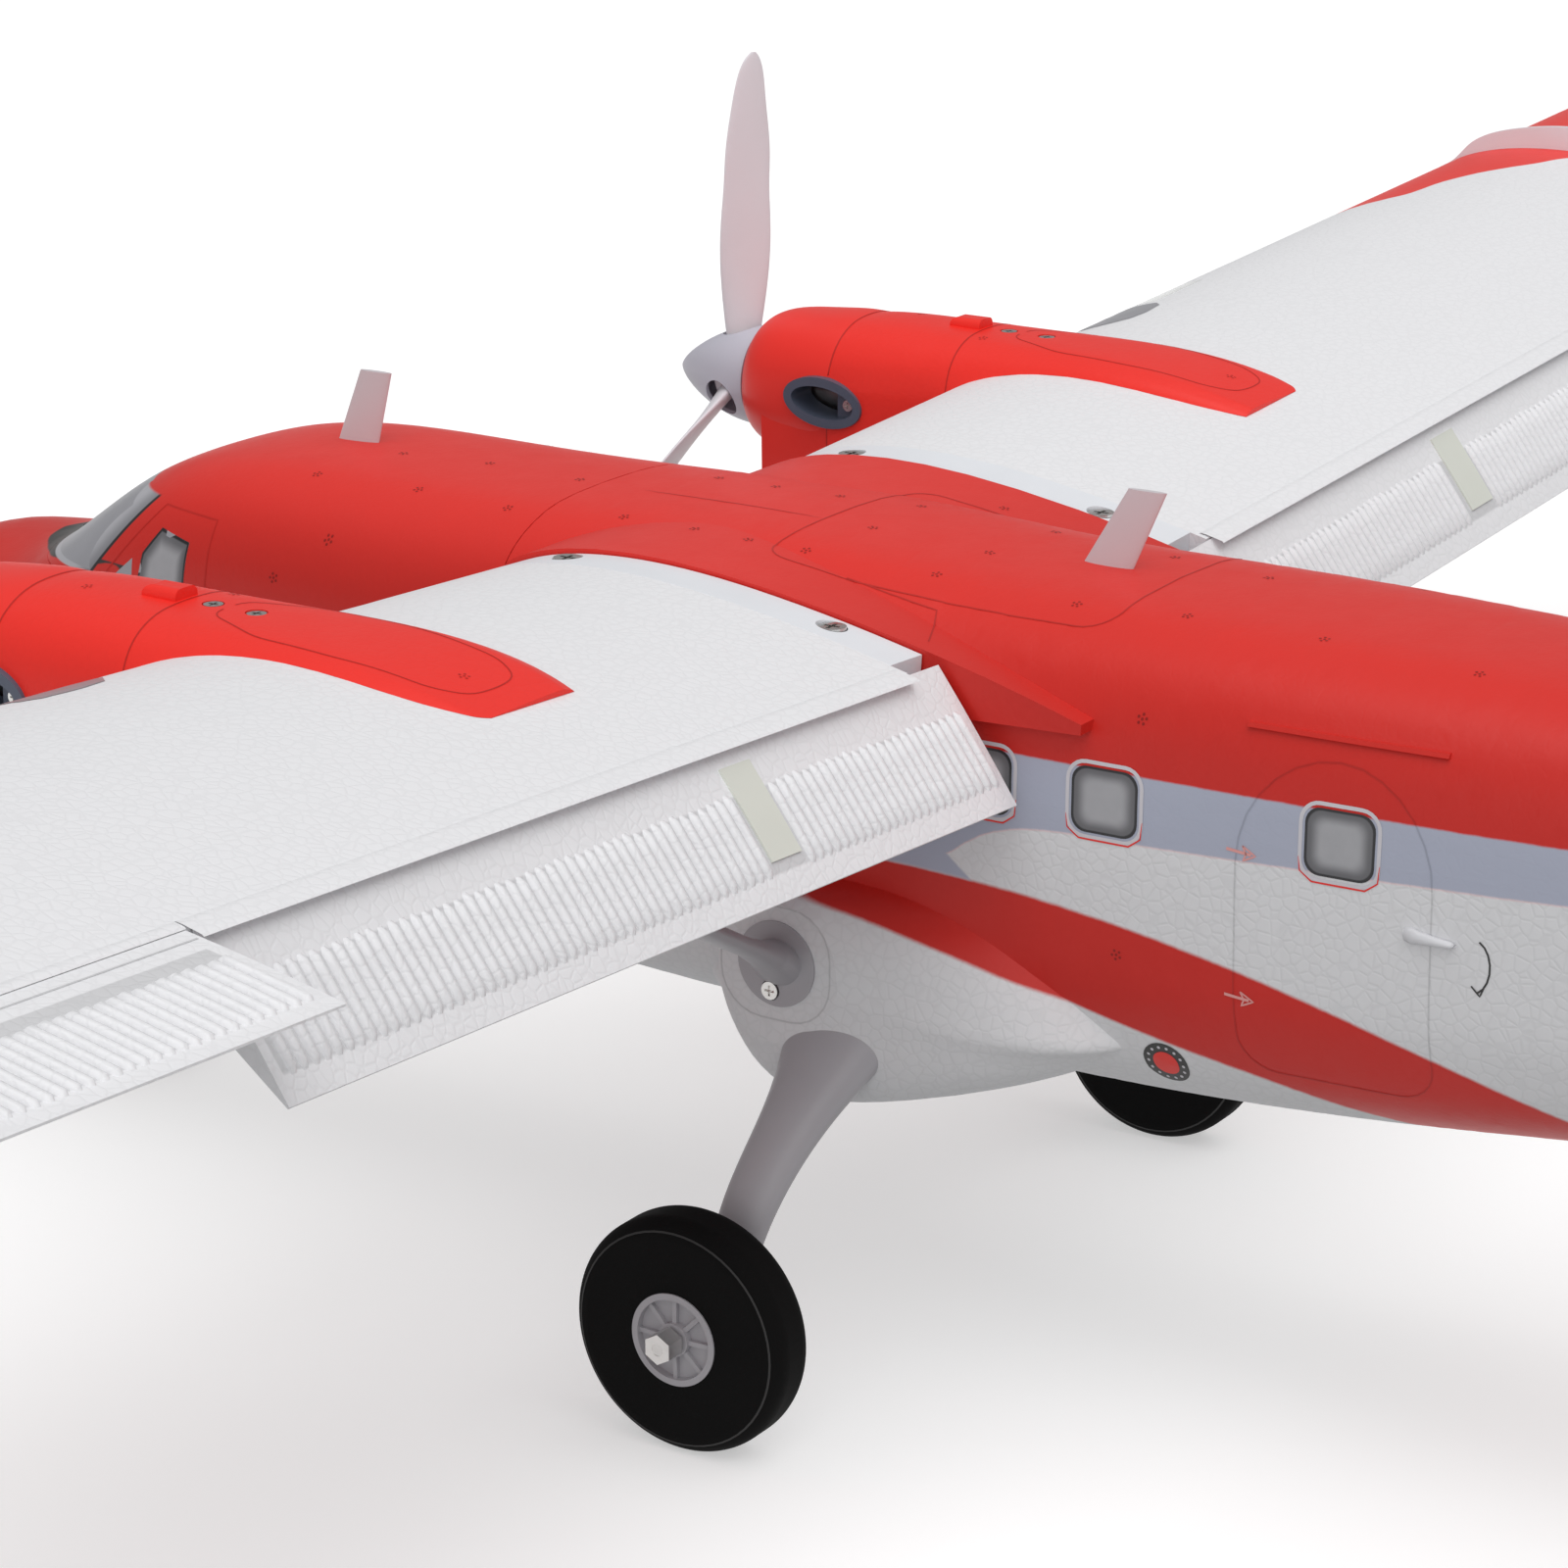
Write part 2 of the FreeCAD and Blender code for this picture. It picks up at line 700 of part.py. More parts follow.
def hatch_room(gap):
    """The block above the nose that the hatch fills, narrower by a gap all round."""
    front = size("hatch_front_y") + gap
    rear = size("hatch_rear_y") - gap
    floor = size("hatch_floor_z") + gap
    half = size("body_half_width") + 20.0
    return Part.makeBox(2 * half, rear - front, 80.0, Vector(-half, front, floor))


def leg_shape():
    """The left landing gear leg, a streamlined arm that flares into the body."""
    wires = []
    gear = size("gear_y")
    for index, (x, behind, z, chord, thickness) in enumerate(LEG_SECTIONS):
        before = LEG_SECTIONS[max(index - 1, 0)]
        after = LEG_SECTIONS[min(index + 1, len(LEG_SECTIONS) - 1)]
        direction = Vector(after[0] - before[0], 0, after[2] - before[2])
        ring = Part.Wire([Part.Ellipse(Vector(0, 0, 0), chord / 2, thickness / 2).toShape()])
        turn = Rotation(Vector(0, 1, 0), Vector(0, 0, 1).cross(direction), direction, "ZXY")
        ring.Placement = Placement(Vector(x, gear + behind, z), turn)
        wires.append(ring)
    return Part.makeLoft(wires, True)


def strut_line():
    """Foot and head of the left wing strut."""
    return Vector(64.0, size("strut_foot_y"), 101.0), Vector(207.0, size("strut_head_y"), 176.0)


def strut_shape():
    """The left wing strut with the round foot that is screwed to the body."""
    foot, head = strut_line()
    along = head - foot
    turn = Rotation(Vector(0, 1, 0), Vector(0, 0, 1).cross(along), along, "ZXY")
    wires = []
    for share, chord, thickness in ((0.0, 15.0, 11.0), (0.05, 10.5, 7.0), (0.12, 9.0, 4.6),
                                    (1.0, 9.0, 4.6)):
        ring = Part.Wire([Part.Ellipse(Vector(0, 0, 0), chord / 2, thickness / 2).toShape()])
        ring.Placement = Placement(foot + along * share, turn)
        wires.append(ring)
    rod = Part.makeLoft(wires, True, True)
    base = disc(Vector(63.4, foot.y, foot.z), Vector(1, 0, 0), 10.5, 2.6)
    inside = Part.makeBox(60, 60, 60, Vector(3.4, foot.y - 30, foot.z - 30))
    return base.fuse(rod).cut(inside).removeSplitter()


def strut_screw():
    """The small screw through the strut's foot."""
    foot = strut_line()[0]
    standard = screw(Vector(0, 0, 0), size("small_screw_head"), 1.0, 7.0)
    return aimed(standard, Vector(66.5, foot.y - 1.5, foot.z - 6.8), Vector(1, 0, 0))


def strut_screw_hole():
    """The hole of the strut's screw."""
    foot = strut_line()[0]
    standard = screw_hole(Vector(0, 0, 0), size("small_screw_head"), 1.0, 7.0)
    return aimed(standard, Vector(66.5, foot.y - 1.5, foot.z - 6.8), Vector(1, 0, 0))


def nose_mount_block():
    """The bearing block for the nose leg, let into the belly."""
    return Part.makeBox(26, 26, 28, Vector(-13, size("nose_y") - 13, 81.5))


def make_fuselage():
    """The hollow body with its saddle and gear stubs, open under the hatch."""
    outer = body_loft(0.0, BODY_SECTIONS)
    hollow = body_loft(size("body_wall"), BODY_SECTIONS[FIRST_HOLLOW_SECTION:LAST_HOLLOW_SECTION])
    stub = make_gear_stub()
    outer = outer.fuse([stub, stub.mirror(Vector(0, 0, 0), Vector(1, 0, 0))])
    shell = outer.cut(hollow)
    shell = shell.fuse(make_saddle())
    shell = shell.fuse(make_drip_rails())
    shell = shell.cut(hatch_room(-size("hatch_gap")))
    shell = shell.cut(make_spar_hole())
    leg = leg_shape()
    shell = shell.cut(leg).cut(leg.mirror(Vector(0, 0, 0), Vector(1, 0, 0)))
    for part in (strut_shape(), strut_screw_hole()):
        shell = shell.cut(part).cut(part.mirror(Vector(0, 0, 0), Vector(1, 0, 0)))
    shell = shell.cut(nose_mount_block())
    shell = shell.cut(tail_room())
    return shell


def make_drip_rails():
    """The low ridge over each rear door."""
    band = Part.makeBox(200.0, size("rail_length"), 1.0, Vector(-100.0, size("rail_y"), size("rail_z")))
    core = Part.makeBox(80.0, 100.0, 30.0, Vector(-40.0, size("rail_y") - 20, size("rail_z") - 15))
    return body_loft(-0.8, BODY_SECTIONS).common(band).cut(core)


def tail_room():
    """The room in the tail cone for the fin's root and, behind it, the foot of the rudder."""
    rear = Part.makeBox(60.0, 60.0, 60.0, Vector(-30.0, FIN_REAR - 1.0, RUDDER_FOOT_Z - size("tail_gap")))
    return fin_shape().fuse(rear)


def make_hatch_shell():
    """The lift-off cover over the battery bay, with the windscreen."""
    outer = body_loft(0.0, BODY_SECTIONS)
    hollow = body_loft(size("hatch_wall"), BODY_SECTIONS[FIRST_HOLLOW_SECTION:LAST_HOLLOW_SECTION])
    return outer.cut(hollow).common(hatch_room(0.0))


# Outlines of one windscreen pane (x, z), of the side window and of the small front light (y, z).
WINDSCREEN_PANE = ((1.6, 160.5), (1.6, 183.0), (30.0, 181.0), (40.0, 176.5), (48.0, 160.0))
WINDSCREEN_REAR_Y = -303.0
SIDE_WINDOW = ((-301.2, 159.8), (-300.0, 167.5), (-295.0, 174.2), (-284.4, 172.2), (-285.0, 159.8))
FRONT_LIGHT = ((-310.5, 159.8), (-303.6, 165.6), (-303.2, 159.8))


def glazing_prisms():
    """Blocks that cut the two windscreen panes, the side windows and the small front lights."""
    front = size("hatch_front_y") - 5.0
    blocks = []
    for side in (1, -1):
        outline = [Vector(side * x, front, z) for x, z in WINDSCREEN_PANE]
        blocks.append(prism(outline, Vector(0, WINDSCREEN_REAR_Y - front, 0)))
    reach = 70.0
    for window in (SIDE_WINDOW, FRONT_LIGHT):
        outline = [Vector(-reach, y, z) for y, z in window]
        blocks.append(prism(outline, Vector(2 * reach, 0, 0)))
    return blocks


def make_antenna(base_y, lean, height):
    """An upright blade antenna on the centre line of the roof."""
    foot = 187.0
    sections = ((0.0, 13.5, 2.6, 0.0), (1.0, 10.0, 1.8, lean))
    wires = []
    for share, chord, thickness, shift in sections:
        ring = Part.Wire([Part.Ellipse(Vector(0, 0, 0), chord / 2, thickness / 2).toShape()])
        turn = Rotation(Vector(0, 0, 1), 90)
        ring.Placement = Placement(Vector(0, base_y + shift, foot + share * (height - foot)), turn)
        wires.append(ring)
    return Part.makeLoft(wires, True, True)


def build_body():
    """Body shell, hatch, windows, antennas, struts and landing gear legs."""
    antennas = [make_antenna(-269.5, 7.5, 210.0), make_antenna(-48.5, 11.0, 208.5)]
    shell = make_fuselage()
    shell = shell.cut(antennas[1])
    node(held("fuselage_shape", shell), "fuselage_shell")

    hatch = make_hatch_shell()
    panes = []
    for block in glazing_prisms():
        panes.extend(hatch.common(block).Solids)
        hatch = hatch.cut(block)
    node(held("hatch_shape", hatch.cut(antennas[0])), "canopy_hatch")
    node(held("glazing_shape", Part.makeCompound(panes)), "cockpit_glazing")
    node(held("front_antenna_shape", antennas[0]), "front_antenna")
    node(held("rear_antenna_shape", antennas[1]), "rear_antenna")

    leg = held("left_leg_shape", leg_shape().cut(axle_core()))
    mirrored(node(leg, "left_gear_leg"), "right_gear_leg")
    strut = strut_shape().cut(strut_screw_hole()).cut(wing_length(180.0, 230.0))
    mirrored(node(held("left_strut_shape", strut), "left_strut"), "right_strut")
    pair(held("left_strut_screw", strut_screw()), "strut_screws")


# ---------------------------------------------------------------- engines

ENGINE = Vector(size("nacelle_x"), 0, size("engine_axis_z"))
FORWARD = Vector(0, -1, 0)


def engine_loft(sections, inset=0.0):
    """A nacelle or cowl form about the engine axis, or its hollow when inset."""
    wires = []
    for y, share, top, bottom, upper_power, lower_power in sections:
        half_width = share * size("nacelle_half_width") - inset
        wires.append(oval(y, ENGINE.x, ENGINE.z, half_width, ENGINE.z + max(top - inset, 0.5),
                          ENGINE.z + bottom + inset, upper_power, lower_power))
    return Part.makeLoft(wires, True)


def on_engine(y):
    """The point of the engine axis at a station."""
    return Vector(ENGINE.x, y, ENGINE.z)


def exhaust_form(half_length, half_height, depth, side, outside):
    """An elliptical plug through one side of the nacelle, reaching outside by the lip."""
    surface = ENGINE.x + side * size("nacelle_half_width")
    ellipse = Part.Wire([Part.Ellipse(Vector(0, 0, 0), half_length, half_height).toShape()])
    turn = Rotation(Vector(0, 1, 0), Vector(0, 0, 1), Vector(1, 0, 0), "ZXY")
    turn = Rotation(Vector(1, 0, 0), -size("exhaust_droop_deg")) * turn
    centre = Vector(surface + side * outside, size("exhaust_y"), size("exhaust_z"))
    ellipse.Placement = Placement(centre, turn)
    return Part.Face(ellipse).extrude(Vector(-side * (depth + outside), 0, 0))


def exhaust_stack(side):
    """An oval exhaust ring with a floor in its rear half."""
    half_length = size("exhaust_half_length")
    half_height = size("exhaust_half_height")
    lip = size("exhaust_lip")
    depth = size("exhaust_depth")
    stack = exhaust_form(half_length, half_height, depth, side, 1.6)
    mouth = exhaust_form(half_length - lip, half_height - lip, 3.0, side, 1.7)
    throat = exhaust_form(half_length - lip, half_height - lip, depth + 1.0, side, 1.7)
    front = Part.makeBox(120, 40, 60, Vector(ENGINE.x - 60, size("exhaust_y") + 2.5 - 40, 150))
    return stack.cut(mouth).cut(throat.common(front))


def exhaust_screw(side, hole=False):
    """The screw in the floor of an exhaust, or its hole."""
    maker = screw_hole if hole else screw
    standard = maker(Vector(0, 0, 0), 1.6, 0.8, 5.0)
    surface = ENGINE.x + side * (size("nacelle_half_width") - 2.0)
    place = Vector(surface, size("exhaust_y") + 6.4, size("exhaust_z") - 0.7)
    return aimed(standard, place, Vector(side, 0, 0))


def nacelle_screw_tops():
    """Tops of the two screws on the left nacelle's back."""
    return [Vector(ENGINE.x, y, ENGINE.z + rise) for y, rise in ((-173.5, 22.1), (-161.5, 21.8))]


def make_blister():
    """The small raised box on the nacelle's back, rounded in front and cut square behind."""
    length, width, height, rounding = 9.5, 7.5, 6.6, 2.0
    front = -190.5
    corner = Vector(ENGINE.x - width / 2, front, ENGINE.z + 18.2)
    block = Part.makeBox(width, length, height, corner)
    top_edges = [edge for edge in block.Edges if abs(edge.CenterOfMass.z - block.BoundBox.ZMax) < 0.01]
    rounded = [edge for edge in top_edges if edge.CenterOfMass.y < front + length - 0.01]
    return block.makeFillet(rounding, rounded)


def make_nacelle():
    """The foam nacelle that wraps the leading edge, with a room for the motor."""
    nacelle = engine_loft(NACELLE_SECTIONS)
    nacelle = nacelle.fuse(make_blister())
    nacelle = nacelle.cut(wing_length(130.0, 215.0))
    room = disc(on_engine(size("cowl_split_y") - 1), Vector(0, 1, 0), size("motor_room_radius"),
                size("motor_room_rear_y") - size("cowl_split_y") + 1)
    nacelle = nacelle.cut(room)
    for side in (1, -1):
        nacelle = nacelle.cut(exhaust_form(size("exhaust_half_length"), size("exhaust_half_height"),
                                           size("exhaust_depth"), side, 3.0))
    for top in nacelle_screw_tops():
        nacelle = nacelle.cut(screw_hole(top, size("small_screw_head"), 1.0, 8.0))
    return nacelle


def make_cowl():
    """The moulded cowl in front of the nacelle, with the shaft hole and the chin intake."""
    cowl = engine_loft(COWL_SECTIONS).fuse(engine_loft(CHIN_SECTIONS))
    for sections in (COWL_SECTIONS, CHIN_SECTIONS):
        inner = engine_loft(sections, size("cowl_wall"))
        inner.translate(Vector(0, size("cowl_wall"), 0))
        cowl = cowl.cut(inner)
    cowl = cowl.cut(disc(on_engine(-260.0), Vector(0, 1, 0), 9.0, 12.0))
    width, depth, height = 18.0, 6.0, 4.5
    corner = Vector(ENGINE.x - width / 2, CHIN_SECTIONS[0][0] - depth / 2, ENGINE.z - 31.5)
    cowl = cowl.cut(Part.makeBox(width, depth, height, corner))
    for side in (1, -1):
        cowl = cowl.cut(exhaust_form(size("exhaust_half_length"), size("exhaust_half_height"),
                                     size("exhaust_depth"), side, 3.0))
    return cowl


def make_motor_mount():
    """The disc and four posts that carry the motor."""
    back = size("motor_room_rear_y")
    thickness = size("mount_disc_thickness")
    mount = disc(on_engine(back), FORWARD, size("motor_room_radius"), thickness)
    for turn in (45, 135, 225, 315):
        angle = math.radians(turn)
        place = Vector(size("standoff_circle") * math.cos(angle), 0,
                       size("standoff_circle") * math.sin(angle))
        length = back - thickness - size("stator_rear_y")
        mount = mount.fuse(disc(on_engine(back - thickness) + place, FORWARD,
                                size("standoff_radius"), length))
    return mount


def blade():
    """One propeller blade, upright, twisted along its length."""
    wires = []
    for radius, chord, thickness, pitch, shift in BLADE_SECTIONS:
        ring = Part.Wire([Part.Ellipse(Vector(0, 0, 0), chord / 2, thickness / 2).toShape()])
        ring.Placement = Placement(Vector(-shift, 0, radius), Rotation(Vector(0, 0, 1), -pitch))
        wires.append(ring)
    return Part.makeLoft(wires, True).mirror(Vector(0, 0, 0), Vector(1, 0, 0))


def blade_turns():
    """The three turns about the shaft at which blades stand."""
    return [Rotation(Vector(0, 1, 0), size("blade_turn_deg") + 120 * index) for index in range(3)]


def make_propeller():
    """Three blades on a hub with a bore for the motor shaft."""
    centre = on_engine(size("blade_plane_y"))
    propeller = disc(centre + Vector(0, 4.5, 0), FORWARD, size("hub_radius"), 9.0)
    for turn in blade_turns():
        arm = blade()
        arm.Placement = Placement(centre, turn)
        propeller = propeller.fuse(arm)
    return propeller.cut(disc(on_engine(-240.0), FORWARD, size("shaft_radius"), 60.0))


def make_spinner():
    """The hollow pointed cap over the propeller's hub, with a slot for each blade."""
    base = size("spinner_base_y")
    radius = size("spinner_radius")
    length = size("spinner_length")
    wall = size("spinner_wall")

    def ogive(outer_radius, outer_length):
        curve = Part.BSplineCurve()
        profile = ((0.0, 1.0), (0.22, 0.95), (0.5, 0.77), (0.78, 0.45), (0.94, 0.17), (1.0, 0.0))
        curve.interpolate([Vector(ENGINE.x + share_out * outer_radius, base - share * outer_length,
                                  ENGINE.z) for share, share_out in profile])
        edges = [curve.toShape(),
                 Part.LineSegment(on_engine(base - outer_length), on_engine(base)).toShape(),
                 Part.LineSegment(on_engine(base), on_engine(base) + Vector(outer_radius, 0, 0)).toShape()]
        return Part.Face(Part.Wire(Part.__sortEdges__(edges))).revolve(on_engine(base), FORWARD, 360)

    spinner = ogive(radius, length).cut(ogive(radius - wall, length - 2 * wall))
    for turn in blade_turns():
        outward = turn.multVec(Vector(0, 0, 1))
        slot = disc(on_engine(size("blade_plane_y")), outward, size("blade_slot_radius"), 20.0)
        spinner = spinner.cut(slot)
    return spinner


def build_engines():
    """Nacelles, cowls, exhausts, motors, propellers and spinners."""
    mirrored(node(held("left_nacelle_shape", make_nacelle()), "left_nacelle"), "right_nacelle")
    mirrored(node(held("left_cowl_shape", make_cowl()), "left_cowl"), "right_cowl")
    stacks = [exhaust_stack(side).cut(exhaust_screw(side, True)) for side in (1, -1)]
    pair(held("left_exhausts", Part.makeCompound(stacks)), "exhaust_stacks")
    small = [screw(top, size("small_screw_head"), 1.0, 8.0) for top in nacelle_screw_tops()]
    small += [exhaust_screw(side) for side in (1, -1)]
    pair(held("left_nacelle_screws", Part.makeCompound(small)), "nacelle_screws")
    pair(held("left_mount", make_motor_mount()), "motor_mounts")

    stator, _ = revolved_body("left_stator", [
        ("0", "Sizes.shaft_radius + Sizes.shaft_clearance"),
        ("0", "Sizes.bell_radius - 1"),
        ("6", "Sizes.bell_radius - 1"),
        ("6", "Sizes.stator_core_radius"),
        ("28", "Sizes.stator_core_radius"),
        ("28", "Sizes.shaft_radius + Sizes.shaft_clearance")])
    stator.Placement = Placement(on_engine(size("stator_rear_y")), Rotation(Vector(0, 0, 1), -90))
    pair(stator, "motor_stators")

    bell, _ = revolved_body("left_bell", [
        ("0", "0"),
        ("0", "Sizes.shaft_radius"),
        ("32", "Sizes.shaft_radius"),
        ("32", "Sizes.bell_bore"),
        ("9", "Sizes.bell_bore"),
        ("9", "Sizes.bell_radius"),
        ("35", "Sizes.bell_radius"),
        ("35", "Sizes.shaft_radius + 1.5"),
        ("44", "Sizes.shaft_radius + 1.5"),
        ("44", "Sizes.shaft_radius"),
        ("62", "Sizes.shaft_radius"),
        ("62", "0")])
    bell.Placement = Placement(on_engine(size("stator_rear_y")), Rotation(Vector(0, 0, 1), -90))
    mirrored(node(bell, "left_motor_bell"), "right_motor_bell")

    mirrored(node(held("left_propeller_shape", make_propeller()), "left_propeller"), "right_propeller")
    mirrored(node(held("left_spinner_shape", make_spinner()), "left_spinner"), "right_spinner")


# ---------------------------------------------------------------- wheels

def axle_core():
    """The room of the left main axle inside its leg."""
    start = Vector(size("axle_start_x"), size("gear_y"), size("tyre_radius"))
    return disc(start, Vector(1, 0, 0), size("axle_radius"), size("axle_end_x") - size("axle_start_x"))


def spoked_hub(name, prefix, place):
    """A wheel hub: boss, thin web with eight ribs, and rim, turned about its own X axis."""
    half = f"Sizes.{prefix}hub_width / 2"
    web = f"Sizes.{prefix}web_width / 2"
    radius = f"Sizes.{prefix}hub_radius"
    boss = f"Sizes.{prefix}boss_radius"
    bore = "Sizes.axle_radius + Sizes.axle_clearance"
    rim = f"{radius} - Sizes.wheel_rim_thickness"
    body, _ = revolved_body(name, [
        (f"-({half})", bore), (f"-({half})", boss), (f"-({web})", boss), (f"-({web})", rim),
        (f"-({half})", rim), (f"-({half})", radius), (half, radius), (half, rim),
        (web, rim), (web, boss), (half, boss), (half, bore)])
    sketch = outline_sketch(body, name + "_rib_outline", "XY_Plane", [
        (web, f"{boss} - 0.5"), (f"{half} - 0.7", f"{boss} - 0.5"), (f"{half} - 1", f"{rim} + 0.3"),
        (web, f"{rim} + 0.3")])
    rib = body.newObject("PartDesign::Pad", name + "_rib")
    rib.Profile = sketch
    rib.Length = 1.1
    rib.Midplane = True
    body.Tip = rib
    doc.recompute()
    pattern = body.newObject("PartDesign::PolarPattern", name + "_ribs")
    pattern.Originals = [rib]
    pattern.Axis = (plane_of(body, "X_Axis"), [""])
    pattern.Angle = 360.0
    pattern.Occurrences = 8
    body.Tip = pattern
    sketch.Visibility = False
    body.Placement = Placement(place, Rotation())
    doc.recompute()
    return body


def tyre(name, prefix, hub_radius, place):
    """A foam tyre turned about its own X axis, with rounded shoulders."""
    half = f"Sizes.{prefix}tyre_width / 2"
    body, turn = revolved_body(name, [
        (f"-({half})", hub_radius), (f"-({half})", f"Sizes.{prefix}tyre_radius"),
        (half, f"Sizes.{prefix}tyre_radius"), (half, hub_radius)])
    edges = circular_edges(turn.Shape, size(prefix + "tyre_radius"))
    rounded(body, turn, edges, f"Sizes.{prefix}tyre_shoulder")
    body.Placement = Placement(place, Rotation())
    return body


def hex_collar():
    """The six-sided collar that keeps the left wheel on its axle."""
    body = doc.addObject("PartDesign::Body", "left_collar")
    corner = "Sizes.collar_flats / (2 * cos(30))"
    corners = []
    for index in range(6):
        corners.append((f"{corner} * cos({60 * index + 30})", f"{corner} * sin({60 * index + 30})"))
    sketch = outline_sketch(body, "left_collar_outline", "YZ_Plane", corners)
    pad = body.newObject("PartDesign::Pad", "left_collar_block")
    pad.Profile = sketch
    pad.setExpression("Length", "Sizes.collar_length")
    body.Tip = pad
    sketch.Visibility = False
    start = Vector(size("collar_start_x"), size("gear_y"), size("tyre_radius"))
    body.Placement = Placement(start, Rotation())
    doc.recompute()
    start = (size("collar_start_x") - 1, size("gear_y"), size("tyre_radius"))
    hole = cylinder("left_collar_hole", "Sizes.axle_radius", "Sizes.collar_length + 2", start, (1, 0, 0))
    return cut("left_collar_bored", body, hole)


def build_wheels():
    """Main and nose wheels, the nose leg and its bearing block."""
    main = Vector(size("wheel_x"), size("gear_y"), size("tyre_radius"))
    mirrored(node(spoked_hub("left_hub", "wheel_", main), "left_wheel_hub"), "right_wheel_hub")
    mirrored(node(tyre("left_tyre_body", "", "Sizes.wheel_hub_radius", main), "left_tyre"), "right_tyre")
    start = (size("axle_start_x"), size("gear_y"), size("tyre_radius"))
    axle = cylinder("left_axle", "Sizes.axle_radius", "Sizes.axle_end_x - Sizes.axle_start_x",
                    start, (1, 0, 0))
    pair(axle, "main_axles")
    pair(hex_collar(), "axle_collars")

    nose = Vector(0, size("nose_y"), size("nose_tyre_radius"))
    node(spoked_hub("nose_hub_body", "nose_", nose), "nose_wheel_hub")
    node(tyre("nose_tyre_body", "nose_", "Sizes.nose_hub_radius", nose), "nose_tyre")
    reach = size("fork_half_width") + size("fork_arm_thickness") + 1.5
    axle = cylinder("nose_axle_body", "Sizes.axle_radius",
                    "2 * (Sizes.fork_half_width + Sizes.fork_arm_thickness + 1.5)",
                    (-reach, nose.y, nose.z), (1, 0, 0))
    node(axle, "nose_axle")
    node(held("nose_leg_shape", make_nose_leg(nose)), "nose_leg")
    arm = box("steering_arm_plate", "Sizes.steering_arm_length", "2 * Sizes.leg_tube_radius",
              "Sizes.steering_arm_thickness",
              (-size("steering_arm_length") / 2, nose.y - size("leg_tube_radius"), size("leg_top_z")))
    node(arm, "steering_arm")
    block = held("nose_mount_shape", nose_mount_block().common(body_loft(0.0, BODY_SECTIONS)).cut(
        disc(Vector(0, nose.y, 70.0), Vector(0, 0, 1), size("leg_tube_radius") + 0.05, 60.0)))
    node(block, "nose_gear_mount")


def make_nose_leg(nose):
    """The nose leg: a steering tube above a fork."""
    half = size("fork_half_width")
    thickness = size("fork_arm_thickness")
    crown = size("fork_crown_z")
    leg = disc(Vector(0, nose.y, crown), Vector(0, 0, 1), size("leg_tube_radius"), size("leg_top_z") - crown)
    corner = Vector(-half - thickness, nose.y - 5, crown - 5)
    leg = leg.fuse(Part.makeBox(2 * (half + thickness), 10, 5, corner))
    for side in (1, -1):
        low = Vector(side * half if side > 0 else -half - thickness, nose.y - 5, nose.z)
        leg = leg.fuse(Part.makeBox(thickness, 10, crown - nose.z, low))
        leg = leg.fuse(disc(Vector(low.x, nose.y, nose.z), Vector(1, 0, 0), 5.0, thickness))
    collar = disc(Vector(0, nose.y, crown + 12), Vector(0, 0, 1), size("leg_tube_radius") + 1.4, 9.0)
    leg = leg.fuse(collar)
    return leg.cut(disc(Vector(-30, nose.y, nose.z), Vector(1, 0, 0), size("axle_radius"), 60.0))


# ---------------------------------------------------------------- tail

def rounded_section(front, rear, thickness, rear_thickness, place, across, chordwise):
    """A streamlined closed section between two stations along a chord direction."""
    half = thickness / 2
    tail = rear_thickness / 2
    length = rear - front
    shares = ((0.0, 0.0), (0.03, 0.42), (0.12, 0.78), (0.35, 1.0), (0.65, 0.86), (1.0, tail / half))
    upper = [place + chordwise * (front + share * length) + across * (half * high) for share, high in shares]
    lower = [place + chordwise * (front + share * length) - across * (half * high) for share, high in shares]
    top = Part.BSplineCurve()
    top.interpolate(upper)
    bottom = Part.BSplineCurve()
    bottom.interpolate(lower)
    closing = Part.LineSegment(upper[-1], lower[-1]).toShape()
    return Part.Wire(Part.__sortEdges__([top.toShape(), closing, bottom.toShape()]))


FIN_STATIONS = ((176.0, 322.0), (196.0, 344.0), (350.0, 404.0), (362.0, 412.0))
FIN_REAR = 441.5
RUDDER_REAR = 481.0
RUDDER_FOOT_Z = 173.0


def fin_shape():
    """The fixed fin, from inside the tail cone to its tip."""
    wires = []
    for z, front in FIN_STATIONS:
        thickness = size("fin_thickness") * (1.0 - 0.35 * ease(z, 190.0, 362.0))
        wires.append(rounded_section(front, FIN_REAR, thickness, 0.8 * thickness,
                                     Vector(0, 0, z), Vector(1, 0, 0), Vector(0, 1, 0)))
    return Part.makeLoft(wires, True, True)


def tailplane_section(x, front, rear, rear_thickness):
    """One section of the tailplane or elevator."""
    return rounded_section(front, rear, size("tailplane_thickness"), rear_thickness,
                           Vector(x, 0, size("tailplane_z")), Vector(0, 0, 1), Vector(0, 1, 0))


def tailplane_shape():
    """The fixed tailplane, one piece through the fin."""
    half = size("tail_half_span")
    front = size("tailplane_front_y")
    rear = size("tailplane_hinge_y") - size("tail_gap") - 1.6
    wires = [tailplane_section(x, front + tip, rear, 7.0) for x, tip in
             ((-half, 7.0), (-half + 14, 1.0), (0.0, 0.0), (half - 14, 1.0), (half, 7.0))]
    return Part.makeLoft(wires, True, True)


